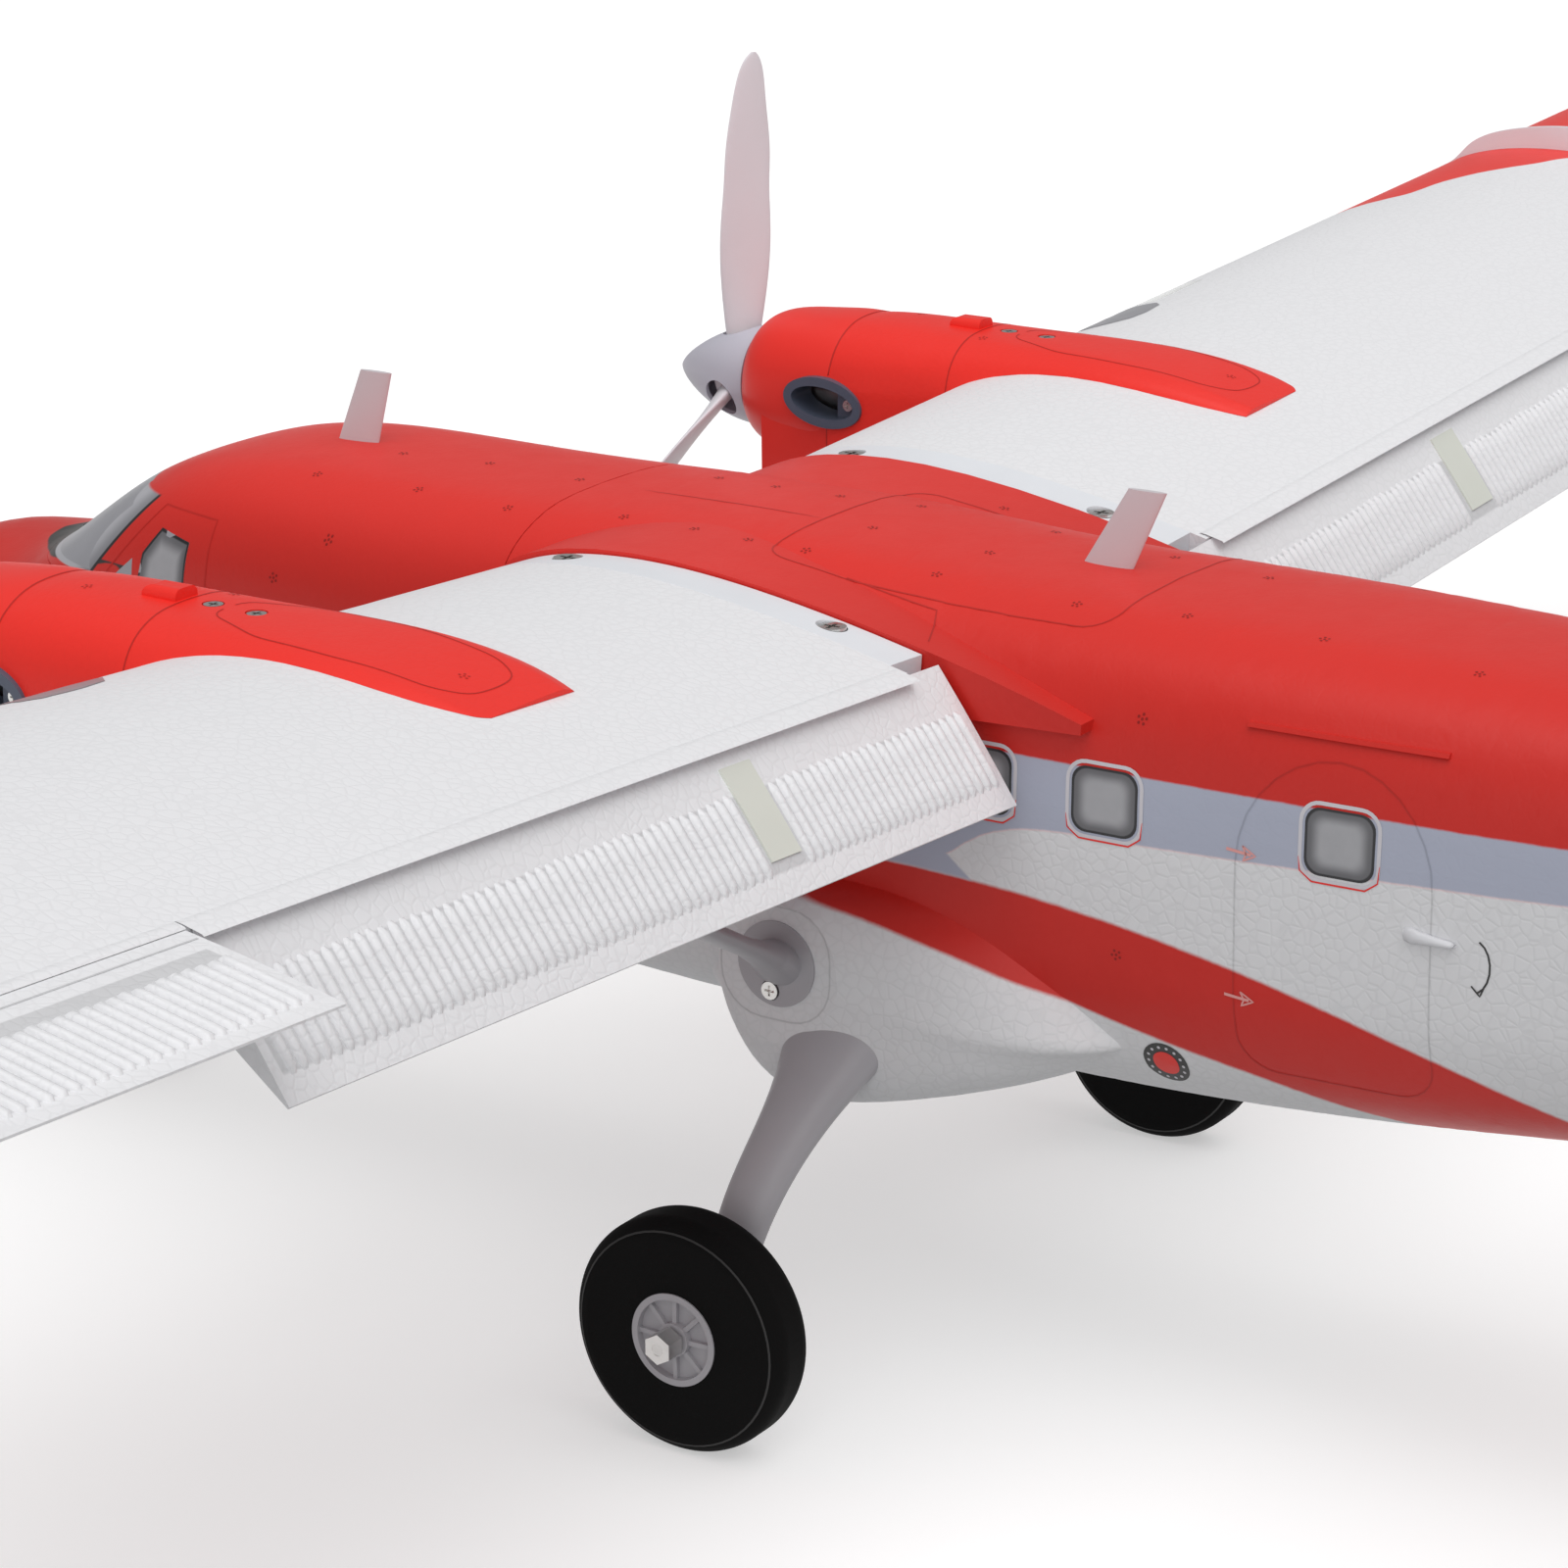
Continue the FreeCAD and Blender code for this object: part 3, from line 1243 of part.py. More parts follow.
def wedge(front_half, rear_half, front, rear, place, across, chordwise, nose_radius):
    """A control surface section: a round nose about its hinge and a thin rear edge."""
    high = place + chordwise * front + across * front_half
    low = place + chordwise * front - across * front_half
    nose = place + chordwise * (front - nose_radius)
    rear_high = place + chordwise * rear + across * rear_half
    rear_low = place + chordwise * rear - across * rear_half
    edges = [Part.Arc(low, nose, high).toShape(), Part.LineSegment(high, rear_high).toShape(),
             Part.LineSegment(rear_high, rear_low).toShape(), Part.LineSegment(rear_low, low).toShape()]
    return Part.Wire(Part.__sortEdges__(edges))


def elevator_half():
    """The left half of the elevator."""
    inner = size("elevator_inner_x")
    outer = size("tail_half_span") - 4.0
    hinge = size("tailplane_hinge_y")
    section = wedge(3.4, 0.7, hinge + 1.6, size("tailplane_rear_y"), Vector(inner, 0, size("tailplane_z")),
                    Vector(0, 0, 1), Vector(0, 1, 0), 3.0)
    half = Part.Face(section).extrude(Vector(outer - inner, 0, 0))
    return half.cut(elevator_joiner_core())


def elevator_joiner_core():
    """The straight bore of the elevator's joiner."""
    reach = size("elevator_inner_x") + 14.0
    start = Vector(-reach, size("tailplane_hinge_y") + 1.6, size("tailplane_z"))
    return disc(start, Vector(1, 0, 0), size("elevator_joiner_radius"), 2 * reach)


def rudder_shape():
    """The rudder, from the end of the tail cone to the tip of the fin."""
    hinge = size("rudder_hinge_y")
    wires = []
    levels = ((RUDDER_FOOT_Z, RUDDER_REAR, 4.0), (196.0, RUDDER_REAR, 4.0), (361.0, RUDDER_REAR - 4, 2.6))
    for z, rear, half in levels:
        wires.append(wedge(half * 0.78, 0.7, hinge + 3.2, rear, Vector(0, 0, z), Vector(1, 0, 0),
                           Vector(0, 1, 0), 2.6))
    return Part.makeLoft(wires, True, True)


def build_tail():
    """Fin, tailplane and their moving surfaces."""
    plane = tailplane_shape()
    joiner = elevator_joiner_core()
    room = disc(Vector(-20, size("tailplane_hinge_y") + 1.6, size("tailplane_z")), Vector(1, 0, 0),
                size("elevator_joiner_radius") + 0.3, 40.0)
    fin = fin_shape().cut(plane).cut(room)
    node(held("fin_shape_held", fin), "fin")
    node(held("tailplane_shape_held", plane), "tailplane")
    node(held("rudder_shape_held", rudder_shape()), "rudder")
    pair(held("left_elevator", elevator_half()), "elevator")
    node(held("joiner_shape", joiner), "elevator_joiner")


# ---------------------------------------------------------------- equipment

def make_tray():
    """The battery tray, a plate on two rails that stand on the body's floor."""
    width = size("tray_width")
    length = size("tray_length")
    top = size("tray_z")
    front = size("battery_y") - length / 2
    thickness = size("tray_thickness")
    plate = Part.makeBox(width, length, thickness, Vector(-width / 2, front, top - thickness))
    for side in (1, -1):
        rail = Part.makeBox(4.0, length, 22.0, Vector(side * (width / 2 - 6.0) - 2.0, front, top - 22.0))
        plate = plate.fuse(rail)
    inside = body_loft(size("body_wall"), BODY_SECTIONS[FIRST_HOLLOW_SECTION:LAST_HOLLOW_SECTION])
    return plate.common(inside).removeSplitter()


def build_equipment():
    """Battery and radio equipment inside the body."""
    node(held("tray_shape", make_tray()), "battery_tray")
    pack = box("battery_pack", "Sizes.battery_width", "Sizes.battery_length", "Sizes.battery_height",
               (-size("battery_width") / 2, size("battery_y") - size("battery_length") / 2, size("tray_z")))
    node(pack, "battery")
    controller = box("left_controller", "Sizes.controller_width", "Sizes.controller_length",
                     "Sizes.controller_height", (8.0, -170.0, 86.5))
    pair(controller, "speed_controllers")
    receiver = box("receiver_case", "Sizes.receiver_width", "Sizes.receiver_length", "Sizes.receiver_height",
                   (-size("receiver_width") / 2, -112.0, 84.0))
    node(receiver, "receiver")
    cases = []
    for name, x, y, z in (("elevator_servo", 12.0, -70.0, 92.0), ("rudder_servo", -22.5, -70.0, 92.0),
                          ("steering_servo", -5.25, -405.0, 99.0)):
        case = box(name, "Sizes.servo_width", "Sizes.servo_length", "Sizes.servo_height", (x, y, z))
        cases.append(case)
    group(cases, "fuselage_servos")


def check_document():
    """Stop unless every object computed and every sub-part is a valid solid."""
    doc.recompute()
    for item in doc.Objects:
        if "Invalid" in item.State or "Error" in item.State:
            raise RuntimeError(f"{item.Name} did not compute: {item.State}")
    labels = [item.Label for item in nodes]
    if len(set(labels)) != len(labels):
        raise RuntimeError("two sub-parts share a name")
    for item in nodes:
        shape = item.Shape
        if shape.isNull() or not shape.isValid() or not shape.Solids:
            raise RuntimeError(f"{item.Label} is not a valid solid")


def write_parts():
    """Write each sub-part to its own file."""
    os.makedirs("parts", exist_ok=True)
    for item in nodes:
        item.Shape.exportStep(f"parts/{item.Label}.step")
        solids = len(item.Shape.Solids)
        print(f"{item.Label:24s} solids {solids:2d}  volume {item.Shape.Volume / 1000:9.2f} cm3")


build_wings()
build_body()
build_engines()
build_wheels()
build_tail()
build_equipment()
check_document()
write_parts()
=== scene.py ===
import json
import math
import random

import bpy
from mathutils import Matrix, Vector
from mathutils.bvhtree import BVHTree

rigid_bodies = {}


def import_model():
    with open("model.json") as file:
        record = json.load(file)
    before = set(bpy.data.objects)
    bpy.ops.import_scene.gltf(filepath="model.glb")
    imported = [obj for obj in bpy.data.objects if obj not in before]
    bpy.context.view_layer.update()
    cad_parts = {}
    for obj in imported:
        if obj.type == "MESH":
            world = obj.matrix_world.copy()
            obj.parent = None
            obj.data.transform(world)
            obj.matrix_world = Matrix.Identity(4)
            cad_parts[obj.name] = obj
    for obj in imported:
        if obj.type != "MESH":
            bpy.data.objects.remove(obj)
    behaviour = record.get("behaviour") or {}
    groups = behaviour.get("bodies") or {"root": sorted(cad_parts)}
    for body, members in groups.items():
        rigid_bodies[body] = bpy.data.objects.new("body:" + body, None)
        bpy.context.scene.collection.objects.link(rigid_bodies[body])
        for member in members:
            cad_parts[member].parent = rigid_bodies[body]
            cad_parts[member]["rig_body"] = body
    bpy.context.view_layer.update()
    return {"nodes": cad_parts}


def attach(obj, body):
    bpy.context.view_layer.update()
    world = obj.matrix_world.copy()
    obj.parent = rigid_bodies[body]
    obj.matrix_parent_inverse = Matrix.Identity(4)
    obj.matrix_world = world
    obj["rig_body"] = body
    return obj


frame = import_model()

NODES = frame["nodes"]
BODY_OF = {name: item["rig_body"] for name, item in NODES.items()}
MM = 0.001
SIDES = (("left", 1), ("right", -1))


# ---------------------------------------------------------------- shader building

class Finish:
    """One procedural material. Positions are read in millimetres of the row frame."""

    def __init__(self, name):
        self.material = bpy.data.materials.new(name)
        self.material.use_nodes = True
        self.tree = self.material.node_tree
        self.surface = self.tree.nodes["Principled BSDF"]
        coordinates = self.tree.nodes.new("ShaderNodeTexCoord")
        scaled = self.add("ShaderNodeVectorMath", {0: coordinates.outputs["Object"], "Scale": 1000.0},
                          operation="SCALE")
        self.place = scaled.outputs["Vector"]
        parts = self.add("ShaderNodeSeparateXYZ", {"Vector": self.place})
        self.x, self.y, self.z = parts.outputs
        self.side = self.math("ABSOLUTE", self.x)
        flat = self.add("ShaderNodeSeparateXYZ", {"Vector": coordinates.outputs["UV"]})
        self.u = flat.outputs[0]

    def add(self, kind, inputs, **settings):
        item = self.tree.nodes.new(kind)
        for key, value in settings.items():
            setattr(item, key, value)
        for key, value in inputs.items():
            if isinstance(value, bpy.types.NodeSocket):
                self.tree.links.new(value, item.inputs[key])
            else:
                item.inputs[key].default_value = value
        return item

    def math(self, operation, a, b=0.0, c=0.0, clamp=False):
        item = self.add("ShaderNodeMath", {0: a, 1: b, 2: c}, operation=operation, use_clamp=clamp)
        return item.outputs[0]

    def step(self, value, start, end):
        """0 below start, 1 above end, smooth between."""
        item = self.add("ShaderNodeMapRange", {"Value": value, "From Min": start, "From Max": end},
                        interpolation_type="SMOOTHSTEP")
        return item.outputs["Result"]

    def mix(self, share, a, b):
        item = self.tree.nodes.new("ShaderNodeMix")
        item.data_type = "RGBA"
        for key, value in ((0, share), (6, a), (7, b)):
            if isinstance(value, bpy.types.NodeSocket):
                self.tree.links.new(value, item.inputs[key])
            elif key == 0:
                item.inputs[key].default_value = value
            else:
                item.inputs[key].default_value = (*value[:3], 1.0)
        return item.outputs[2]

    def blend(self, share, a, b):
        """A number between a and b."""
        item = self.tree.nodes.new("ShaderNodeMix")
        item.data_type = "FLOAT"
        for key, value in ((0, share), (2, a), (3, b)):
            if isinstance(value, bpy.types.NodeSocket):
                self.tree.links.new(value, item.inputs[key])
            else:
                item.inputs[key].default_value = value
        return item.outputs[0]

    def noise(self, size, detail=2.0, roughness=0.5):
        """A cloudy value from 0 to 1 with features of that size in millimetres."""
        item = self.add("ShaderNodeTexNoise", {"Vector": self.place, "Scale": 1.0 / size,
                                               "Detail": detail, "Roughness": roughness})
        return item.outputs[0]

    def cells(self, size):
        """Distance to the border of foam beads of that size."""
        item = self.add("ShaderNodeTexVoronoi", {"Vector": self.place, "Scale": 1.0 / size},
                        feature="DISTANCE_TO_EDGE")
        return item.outputs["Distance"]

    def curve(self, value, start, end, low, high, points):
        """A height that follows points, given as (value, height)."""
        share = self.add("ShaderNodeMapRange", {"Value": value, "From Min": start, "From Max": end})
        item = self.add("ShaderNodeFloatCurve", {"Value": share.outputs["Result"]})
        line = item.mapping.curves[0]
        spots = [((v - start) / (end - start), (h - low) / (high - low)) for v, h in points]
        line.points[0].location = spots[0]
        line.points[1].location = spots[-1]
        for spot in spots[1:-1]:
            line.points.new(*spot)
        for point in line.points:
            point.handle_type = "AUTO"
        item.mapping.update()
        return self.math("MULTIPLY_ADD", item.outputs["Value"], high - low, low)

    def bump(self, height, depth, strength=1.0):
        """Adds relief of that depth in millimetres."""
        previous = self.surface.inputs["Normal"]
        item = self.add("ShaderNodeBump", {"Height": height, "Distance": depth * MM, "Strength": strength})
        if previous.is_linked:
            self.tree.links.new(previous.links[0].from_socket, item.inputs["Normal"])
        self.tree.links.new(item.outputs["Normal"], previous)

    def set(self, key, value):
        target = self.surface.inputs[key]
        if isinstance(value, bpy.types.NodeSocket):
            self.tree.links.new(value, target)
        elif isinstance(value, tuple):
            target.default_value = (*value, 1.0)
        else:
            target.default_value = value


RED = (0.90, 0.032, 0.022)
WHITE = (0.86, 0.86, 0.88)
BAND = (0.44, 0.465, 0.57)
GREY = (0.43, 0.415, 0.44)
DARK = (0.012, 0.012, 0.013)


def darker(colour, share):
    return tuple(channel * share for channel in colour)


def foam_base(finish, bead=2.9):
    """Shared foam texture: how far a point is inside a bead, and a soft mottling."""
    edge = finish.step(finish.cells(bead), 0.0, 0.16)
    mottle = finish.noise(9.0, 3.0, 0.6)
    return edge, mottle


def foam(name, colour, bead=2.9, relief=0.05, roughness=0.55, contrast=0.06, gloss=0.5):
    finish = Finish(name)
    finish.set("Specular IOR Level", gloss)
    edge, mottle = foam_base(finish, bead)
    shade = finish.math("MULTIPLY_ADD", edge, contrast, 1.0 - contrast)
    tone = finish.mix(shade, darker(colour, 0.55), colour)
    tone = finish.mix(finish.math("MULTIPLY", mottle, 0.10), tone, darker(colour, 0.86))
    finish.set("Base Color", tone)
    finish.set("Roughness", finish.blend(mottle, roughness - 0.05, roughness + 0.05))
    finish.bump(edge, relief)
    finish.bump(mottle, 0.10)
    return finish


def plastic(name, colour, roughness=0.42, grain=0.02, variation=0.05, gloss=0.5):
    finish = Finish(name)
    finish.set("Specular IOR Level", gloss)
    cloud = finish.noise(14.0, 3.0, 0.55)
    finish.set("Base Color", finish.mix(cloud, darker(colour, 1.0 - variation), colour))
    finish.set("Roughness", finish.blend(cloud, roughness - 0.05, roughness + 0.05))
    finish.bump(finish.noise(0.5, 2.0, 0.6), grain)
    return finish


def metal(name, colour, roughness=0.28, grain=0.01):
    finish = Finish(name)
    cloud = finish.noise(3.0, 4.0, 0.6)
    finish.set("Base Color", finish.mix(cloud, darker(colour, 0.8), colour))
    finish.set("Metallic", 1.0)
    finish.set("Roughness", finish.blend(cloud, roughness - 0.08, roughness + 0.08))
    finish.bump(finish.noise(0.3, 2.0, 0.6), grain)
    return finish


# Edges of the paint on the body side: y, z in millimetres.
BAND_TOP = [(-482, 118), (-440, 131), (-400, 139), (-330, 148), (-250, 155), (-180, 158), (-100, 158.3),
            (100, 158.5), (250, 161), (480, 170)]
BAND_FOOT = [(-482, 90), (-62, 130), (-58.4, 131.8), (-52, 136.3), (-45, 139.6), (-34.5, 141.7),
             (-4.7, 142.6), (51.8, 144.7), (90.5, 146.1), (250, 152), (480, 166)]
SWOOSH_TOP = [(-482, 118), (-440, 129), (-300, 130), (-195, 128.5), (-110, 127.5), (-53.6, 126.4),
              (-26.8, 124.1), (2.9, 119.6), (31.7, 113.3), (59.1, 105.3), (89.7, 94.6), (130, 80), (480, 55)]
SWOOSH_FOOT = [(-482, 140), (-195, 127), (-130, 122), (-84.7, 116.2), (-62.1, 110.9), (-35.4, 103.0),
               (-6.2, 95.6), (21.7, 89.8), (40.5, 84.8), (80, 74), (480, 50)]
# Front edge of the black panel: distance from the middle, y.
PANEL_FRONT = [(0, -371), (10, -367.5), (20, -359.5), (30, -350), (39, -340), (47, -322), (51, -305),
               (70, -290)]
# A point on the white wedge's slanting front edge as y, z, and the direction across that edge.
WEDGE_CORNER = (-58.4, 131.5)
WEDGE_SLOPE = (0.63, 0.776)
# The rear edge of the wrapped glass: y for each millimetre of height, and y at height 0.
GLASS_EDGE = (0.826, -450.4)
# Inner edge of the red on the wing: y, distance from the middle.
WING_TRIM = [(-190, 360), (-181, 375), (-160, 396), (-156, 415.7), (-149, 432.8), (-139.3, 449.5),
             (-133, 462.7), (-125, 471), (-110, 471.5), (60, 471.5)]


def livery(name, shade=1.0):
    """Sprayed foam of the body: red above, grey-blue band, white below with a red flash."""
    finish = Finish(name)
    edge, mottle = foam_base(finish)
    wander = finish.math("MULTIPLY_ADD", finish.noise(4.0, 4.0, 0.7), 0.4, -0.2)
    height = finish.math("ADD", finish.z, wander)

    def edge_height(points):
        return finish.curve(finish.y, -482.0, 480.0, 50.0, 180.0, points)

    def over(line, soft=0.45):
        gap = finish.math("SUBTRACT", height, line)
        return finish.step(gap, -soft, soft)

    red_top = over(edge_height(BAND_TOP), 0.35)
    band_foot = edge_height(BAND_FOOT)
    above_band_foot = over(band_foot, 0.3)
    above_swoosh = over(edge_height(SWOOSH_TOP), 0.6)
    above_swoosh_foot = over(edge_height(SWOOSH_FOOT), 0.6)
    # White wedge behind the slanting front edge.
    corner_y, corner_z = WEDGE_CORNER
    slope_y, slope_z = WEDGE_SLOPE
    slant = finish.math("ADD", finish.math("MULTIPLY", finish.math("ADD", finish.y, -corner_y), slope_y),
                        finish.math("MULTIPLY", finish.math("ADD", height, -corner_z), slope_z))
    behind = finish.step(slant, -0.4, 0.4)

    spread = finish.math("ABSOLUTE", finish.math("SUBTRACT", height, band_foot))
    red_mist = finish.math("MULTIPLY", finish.step(spread, 0.6, 0.0), 0.22)

    bead_shade = finish.math("MULTIPLY_ADD", edge, 0.10, 0.90)
    pale = darker(WHITE, 0.90)
    white = finish.mix(bead_shade, darker(pale, 0.62), pale)
    white = finish.mix(red_mist, white, RED)
    # Painted shade: the red is darker lower on the body's sides, standing in for those sides being less lit
    # than the roof.
    red = finish.mix(finish.step(finish.z, 172.0, 202.0), darker(RED, 0.68), RED)
    red = finish.mix(finish.math("MULTIPLY", mottle, 0.15), red, darker(RED, 0.55))
    band = finish.mix(finish.math("MULTIPLY", mottle, 0.30), BAND, darker(BAND, 0.93))

    in_flash = finish.math("MULTIPLY", above_swoosh_foot, finish.math("SUBTRACT", 1.0, above_swoosh))
    lower = finish.mix(in_flash, white, red)
    in_band = finish.math("MULTIPLY", above_swoosh,
                          finish.math("MAXIMUM", above_band_foot, finish.math("SUBTRACT", 1.0, behind)))
    tone = finish.mix(in_band, lower, band)
    tone = finish.mix(red_top, tone, red)

    # Black panel in front of the windscreen.
    front = finish.curve(finish.side, 0.0, 70.0, -380.0, -280.0, PANEL_FRONT)
    behind_front = finish.step(finish.math("SUBTRACT", finish.y, front), -0.4, 0.4)
    low = finish.step(finish.z, 163.4, 163.0)
    high = finish.step(finish.z, 150.0, 150.4)
    black = finish.math("MULTIPLY", finish.math("MULTIPLY", behind_front, low),
                        finish.math("MULTIPLY", high, finish.step(finish.y, -306.0, -306.6)))
    tone = finish.mix(black, tone, (0.030, 0.028, 0.027))
    # Glass that wraps round the front corners of the cabin, with a dark line where it meets the frame.
    frame_gap = finish.math("SUBTRACT", finish.y, finish.math("MULTIPLY_ADD", finish.z, *GLASS_EDGE))
    glass = finish.math("MULTIPLY", finish.step(frame_gap, 0.3, -0.1),
                        finish.math("MULTIPLY", finish.step(finish.z, 158.6, 159.0),
                                    finish.step(finish.z, 180.6, 180.0)))
    pane = finish.mix(finish.step(frame_gap, -8.0, -1.0), (0.44, 0.44, 0.47), (0.24, 0.24, 0.26))
    pane = finish.mix(finish.step(frame_gap, -1.3, -0.9), pane, (0.02, 0.02, 0.022))
    tone = finish.mix(glass, tone, pane)
    # A shade below 1 darkens the whole copy evenly: painted shade for the moulded lines and vent holes laid
    # on the body.
    tone = finish.mix(1.0 - shade, tone, (0.0, 0.0, 0.0))

    painted = finish.math("MAXIMUM", finish.math("MAXIMUM", red_top, in_band), in_flash)
    finish.set("Base Color", tone)
    finish.set("Roughness", finish.blend(painted, 0.56, finish.blend(mottle, 0.36, 0.46)))
    finish.set("Specular IOR Level", 0.35)
    bead_relief = finish.math("MULTIPLY", edge, finish.blend(painted, 1.0, 0.2))
    finish.bump(bead_relief, 0.05)
    finish.bump(mottle, 0.10)
    finish.bump(finish.noise(0.8, 3.0, 0.6), 0.012)
    return finish


def wing_livery(name, shade=1.0, rib_shade_box=None):
    """White beaded foam, red beyond the fence and along the leading edge inboard of it.

    For a field of ribs, given as its least and greatest span and y, the surface there is darkened: painted
    shade in the valleys between the ribs.
    """
    finish = Finish(name)
    edge, mottle = foam_base(finish)
    bead_shade = finish.math("MULTIPLY_ADD", edge, 0.085, 0.915)
    white = finish.mix(bead_shade, darker(WHITE, 0.60), WHITE)
    white = finish.mix(finish.math("MULTIPLY", mottle, 0.08), white, darker(WHITE, 0.86))
    wander = finish.math("MULTIPLY_ADD", finish.noise(6.0, 4.0, 0.7), 0.5, -0.25)
    inner = finish.curve(finish.y, -190.0, 60.0, 340.0, 500.0, WING_TRIM)
    trim = finish.step(finish.math("SUBTRACT", finish.math("ADD", finish.side, wander), inner), -0.5, 0.5)
    red = finish.mix(finish.math("MULTIPLY", mottle, 0.18), RED, darker(RED, 0.84))
    # A shade below 1 darkens the whole copy evenly: painted shade in the gap line before the aileron.
    tone = finish.mix(1.0 - shade, finish.mix(trim, white, red), (0.0, 0.0, 0.0))
    if rib_shade_box:
        inner_x, outer_x, front, rear = rib_shade_box
        field = finish.math("MULTIPLY", finish.step(finish.side, inner_x, inner_x + 0.5),
                            finish.step(finish.side, outer_x, outer_x - 0.5))
        field = finish.math("MULTIPLY", field, finish.step(finish.y, front, front + 0.5))
        field = finish.math("MULTIPLY", field, finish.step(finish.y, rear, rear - 0.5))
        # Painted shade: the surface between the ribs is darkened.
        tone = finish.mix(finish.math("MULTIPLY", field, 0.24), tone, (0.0, 0.0, 0.0))
    finish.set("Base Color", tone)
    finish.set("Roughness", finish.blend(trim, 0.56, 0.42))
    finish.bump(finish.math("MULTIPLY", edge, finish.blend(trim, 1.0, 0.25)), 0.05)
    finish.bump(mottle, 0.12)
    return finish


def tyre_foam():
    finish = Finish("tyre_foam")
    pores = finish.noise(0.6, 3.0, 0.7)
    cloud = finish.noise(12.0, 2.0, 0.5)
    finish.set("Base Color", finish.mix(cloud, (0.0025, 0.0024, 0.0024), (0.005, 0.0047, 0.0047)))
    finish.set("Roughness", finish.blend(cloud, 0.72, 0.85))
    finish.set("Specular IOR Level", 0.10)
    finish.bump(pores, 0.05)
    return finish


def window_finish():
    """Printed window: pale middle, shaded rim, black outline. U runs from the middle to the edge."""
    finish = Finish("window_print")
    cloud = finish.noise(4.0, 2.0, 0.5)
    rim = finish.step(finish.u, 0.50, 0.88)
    middle = finish.mix(cloud, (0.36, 0.36, 0.38), (0.42, 0.42, 0.44))
    tone = finish.mix(rim, middle, (0.13, 0.13, 0.14))
    tone = finish.mix(finish.step(finish.u, 0.90, 0.945), tone, (0.012, 0.012, 0.014))
    finish.set("Base Color", tone)
    finish.set("Roughness", finish.blend(cloud, 0.36, 0.44))
    finish.bump(finish.noise(0.7, 2.0, 0.5), 0.01)
    return finish


def carbon():
    finish = Finish("carbon_weave")
    weave = finish.add("ShaderNodeTexWave", {"Vector": finish.place, "Scale": 0.35, "Distortion": 0.6},
                       bands_direction="DIAGONAL").outputs[0]
    finish.set("Base Color", finish.mix(weave, (0.010, 0.010, 0.011), (0.035, 0.035, 0.038)))
    finish.set("Roughness", finish.blend(weave, 0.30, 0.42))
    finish.bump(weave, 0.02)
    return finish


def wrap():
    """Shrink-wrapped battery with plain bands."""
    finish = Finish("battery_wrap")
    stripe = finish.step(finish.math("ABSOLUTE", finish.math("ADD", finish.y, 268.0)), 22.0, 22.6)
    cloud = finish.noise(8.0, 3.0, 0.6)
    tone = finish.mix(stripe, (0.04, 0.09, 0.30), (0.02, 0.02, 0.022))
    finish.set("Base Color", finish.mix(finish.math("MULTIPLY", cloud, 0.3), tone, (0.08, 0.08, 0.09)))
    finish.set("Roughness", finish.blend(cloud, 0.25, 0.4))
    finish.bump(cloud, 0.08)
    return finish


def clear():
    """Smoky lens over a dark lamp room."""
    finish = Finish("clear_lens")
    cloud = finish.noise(6.0, 2.0, 0.5)
    finish.set("Base Color", finish.mix(cloud, (0.34, 0.36, 0.34), (0.46, 0.48, 0.46)))
    finish.set("Roughness", finish.blend(cloud, 0.08, 0.14))
    finish.set("Transmission Weight", 0.35)
    finish.set("IOR", 1.45)
    return finish


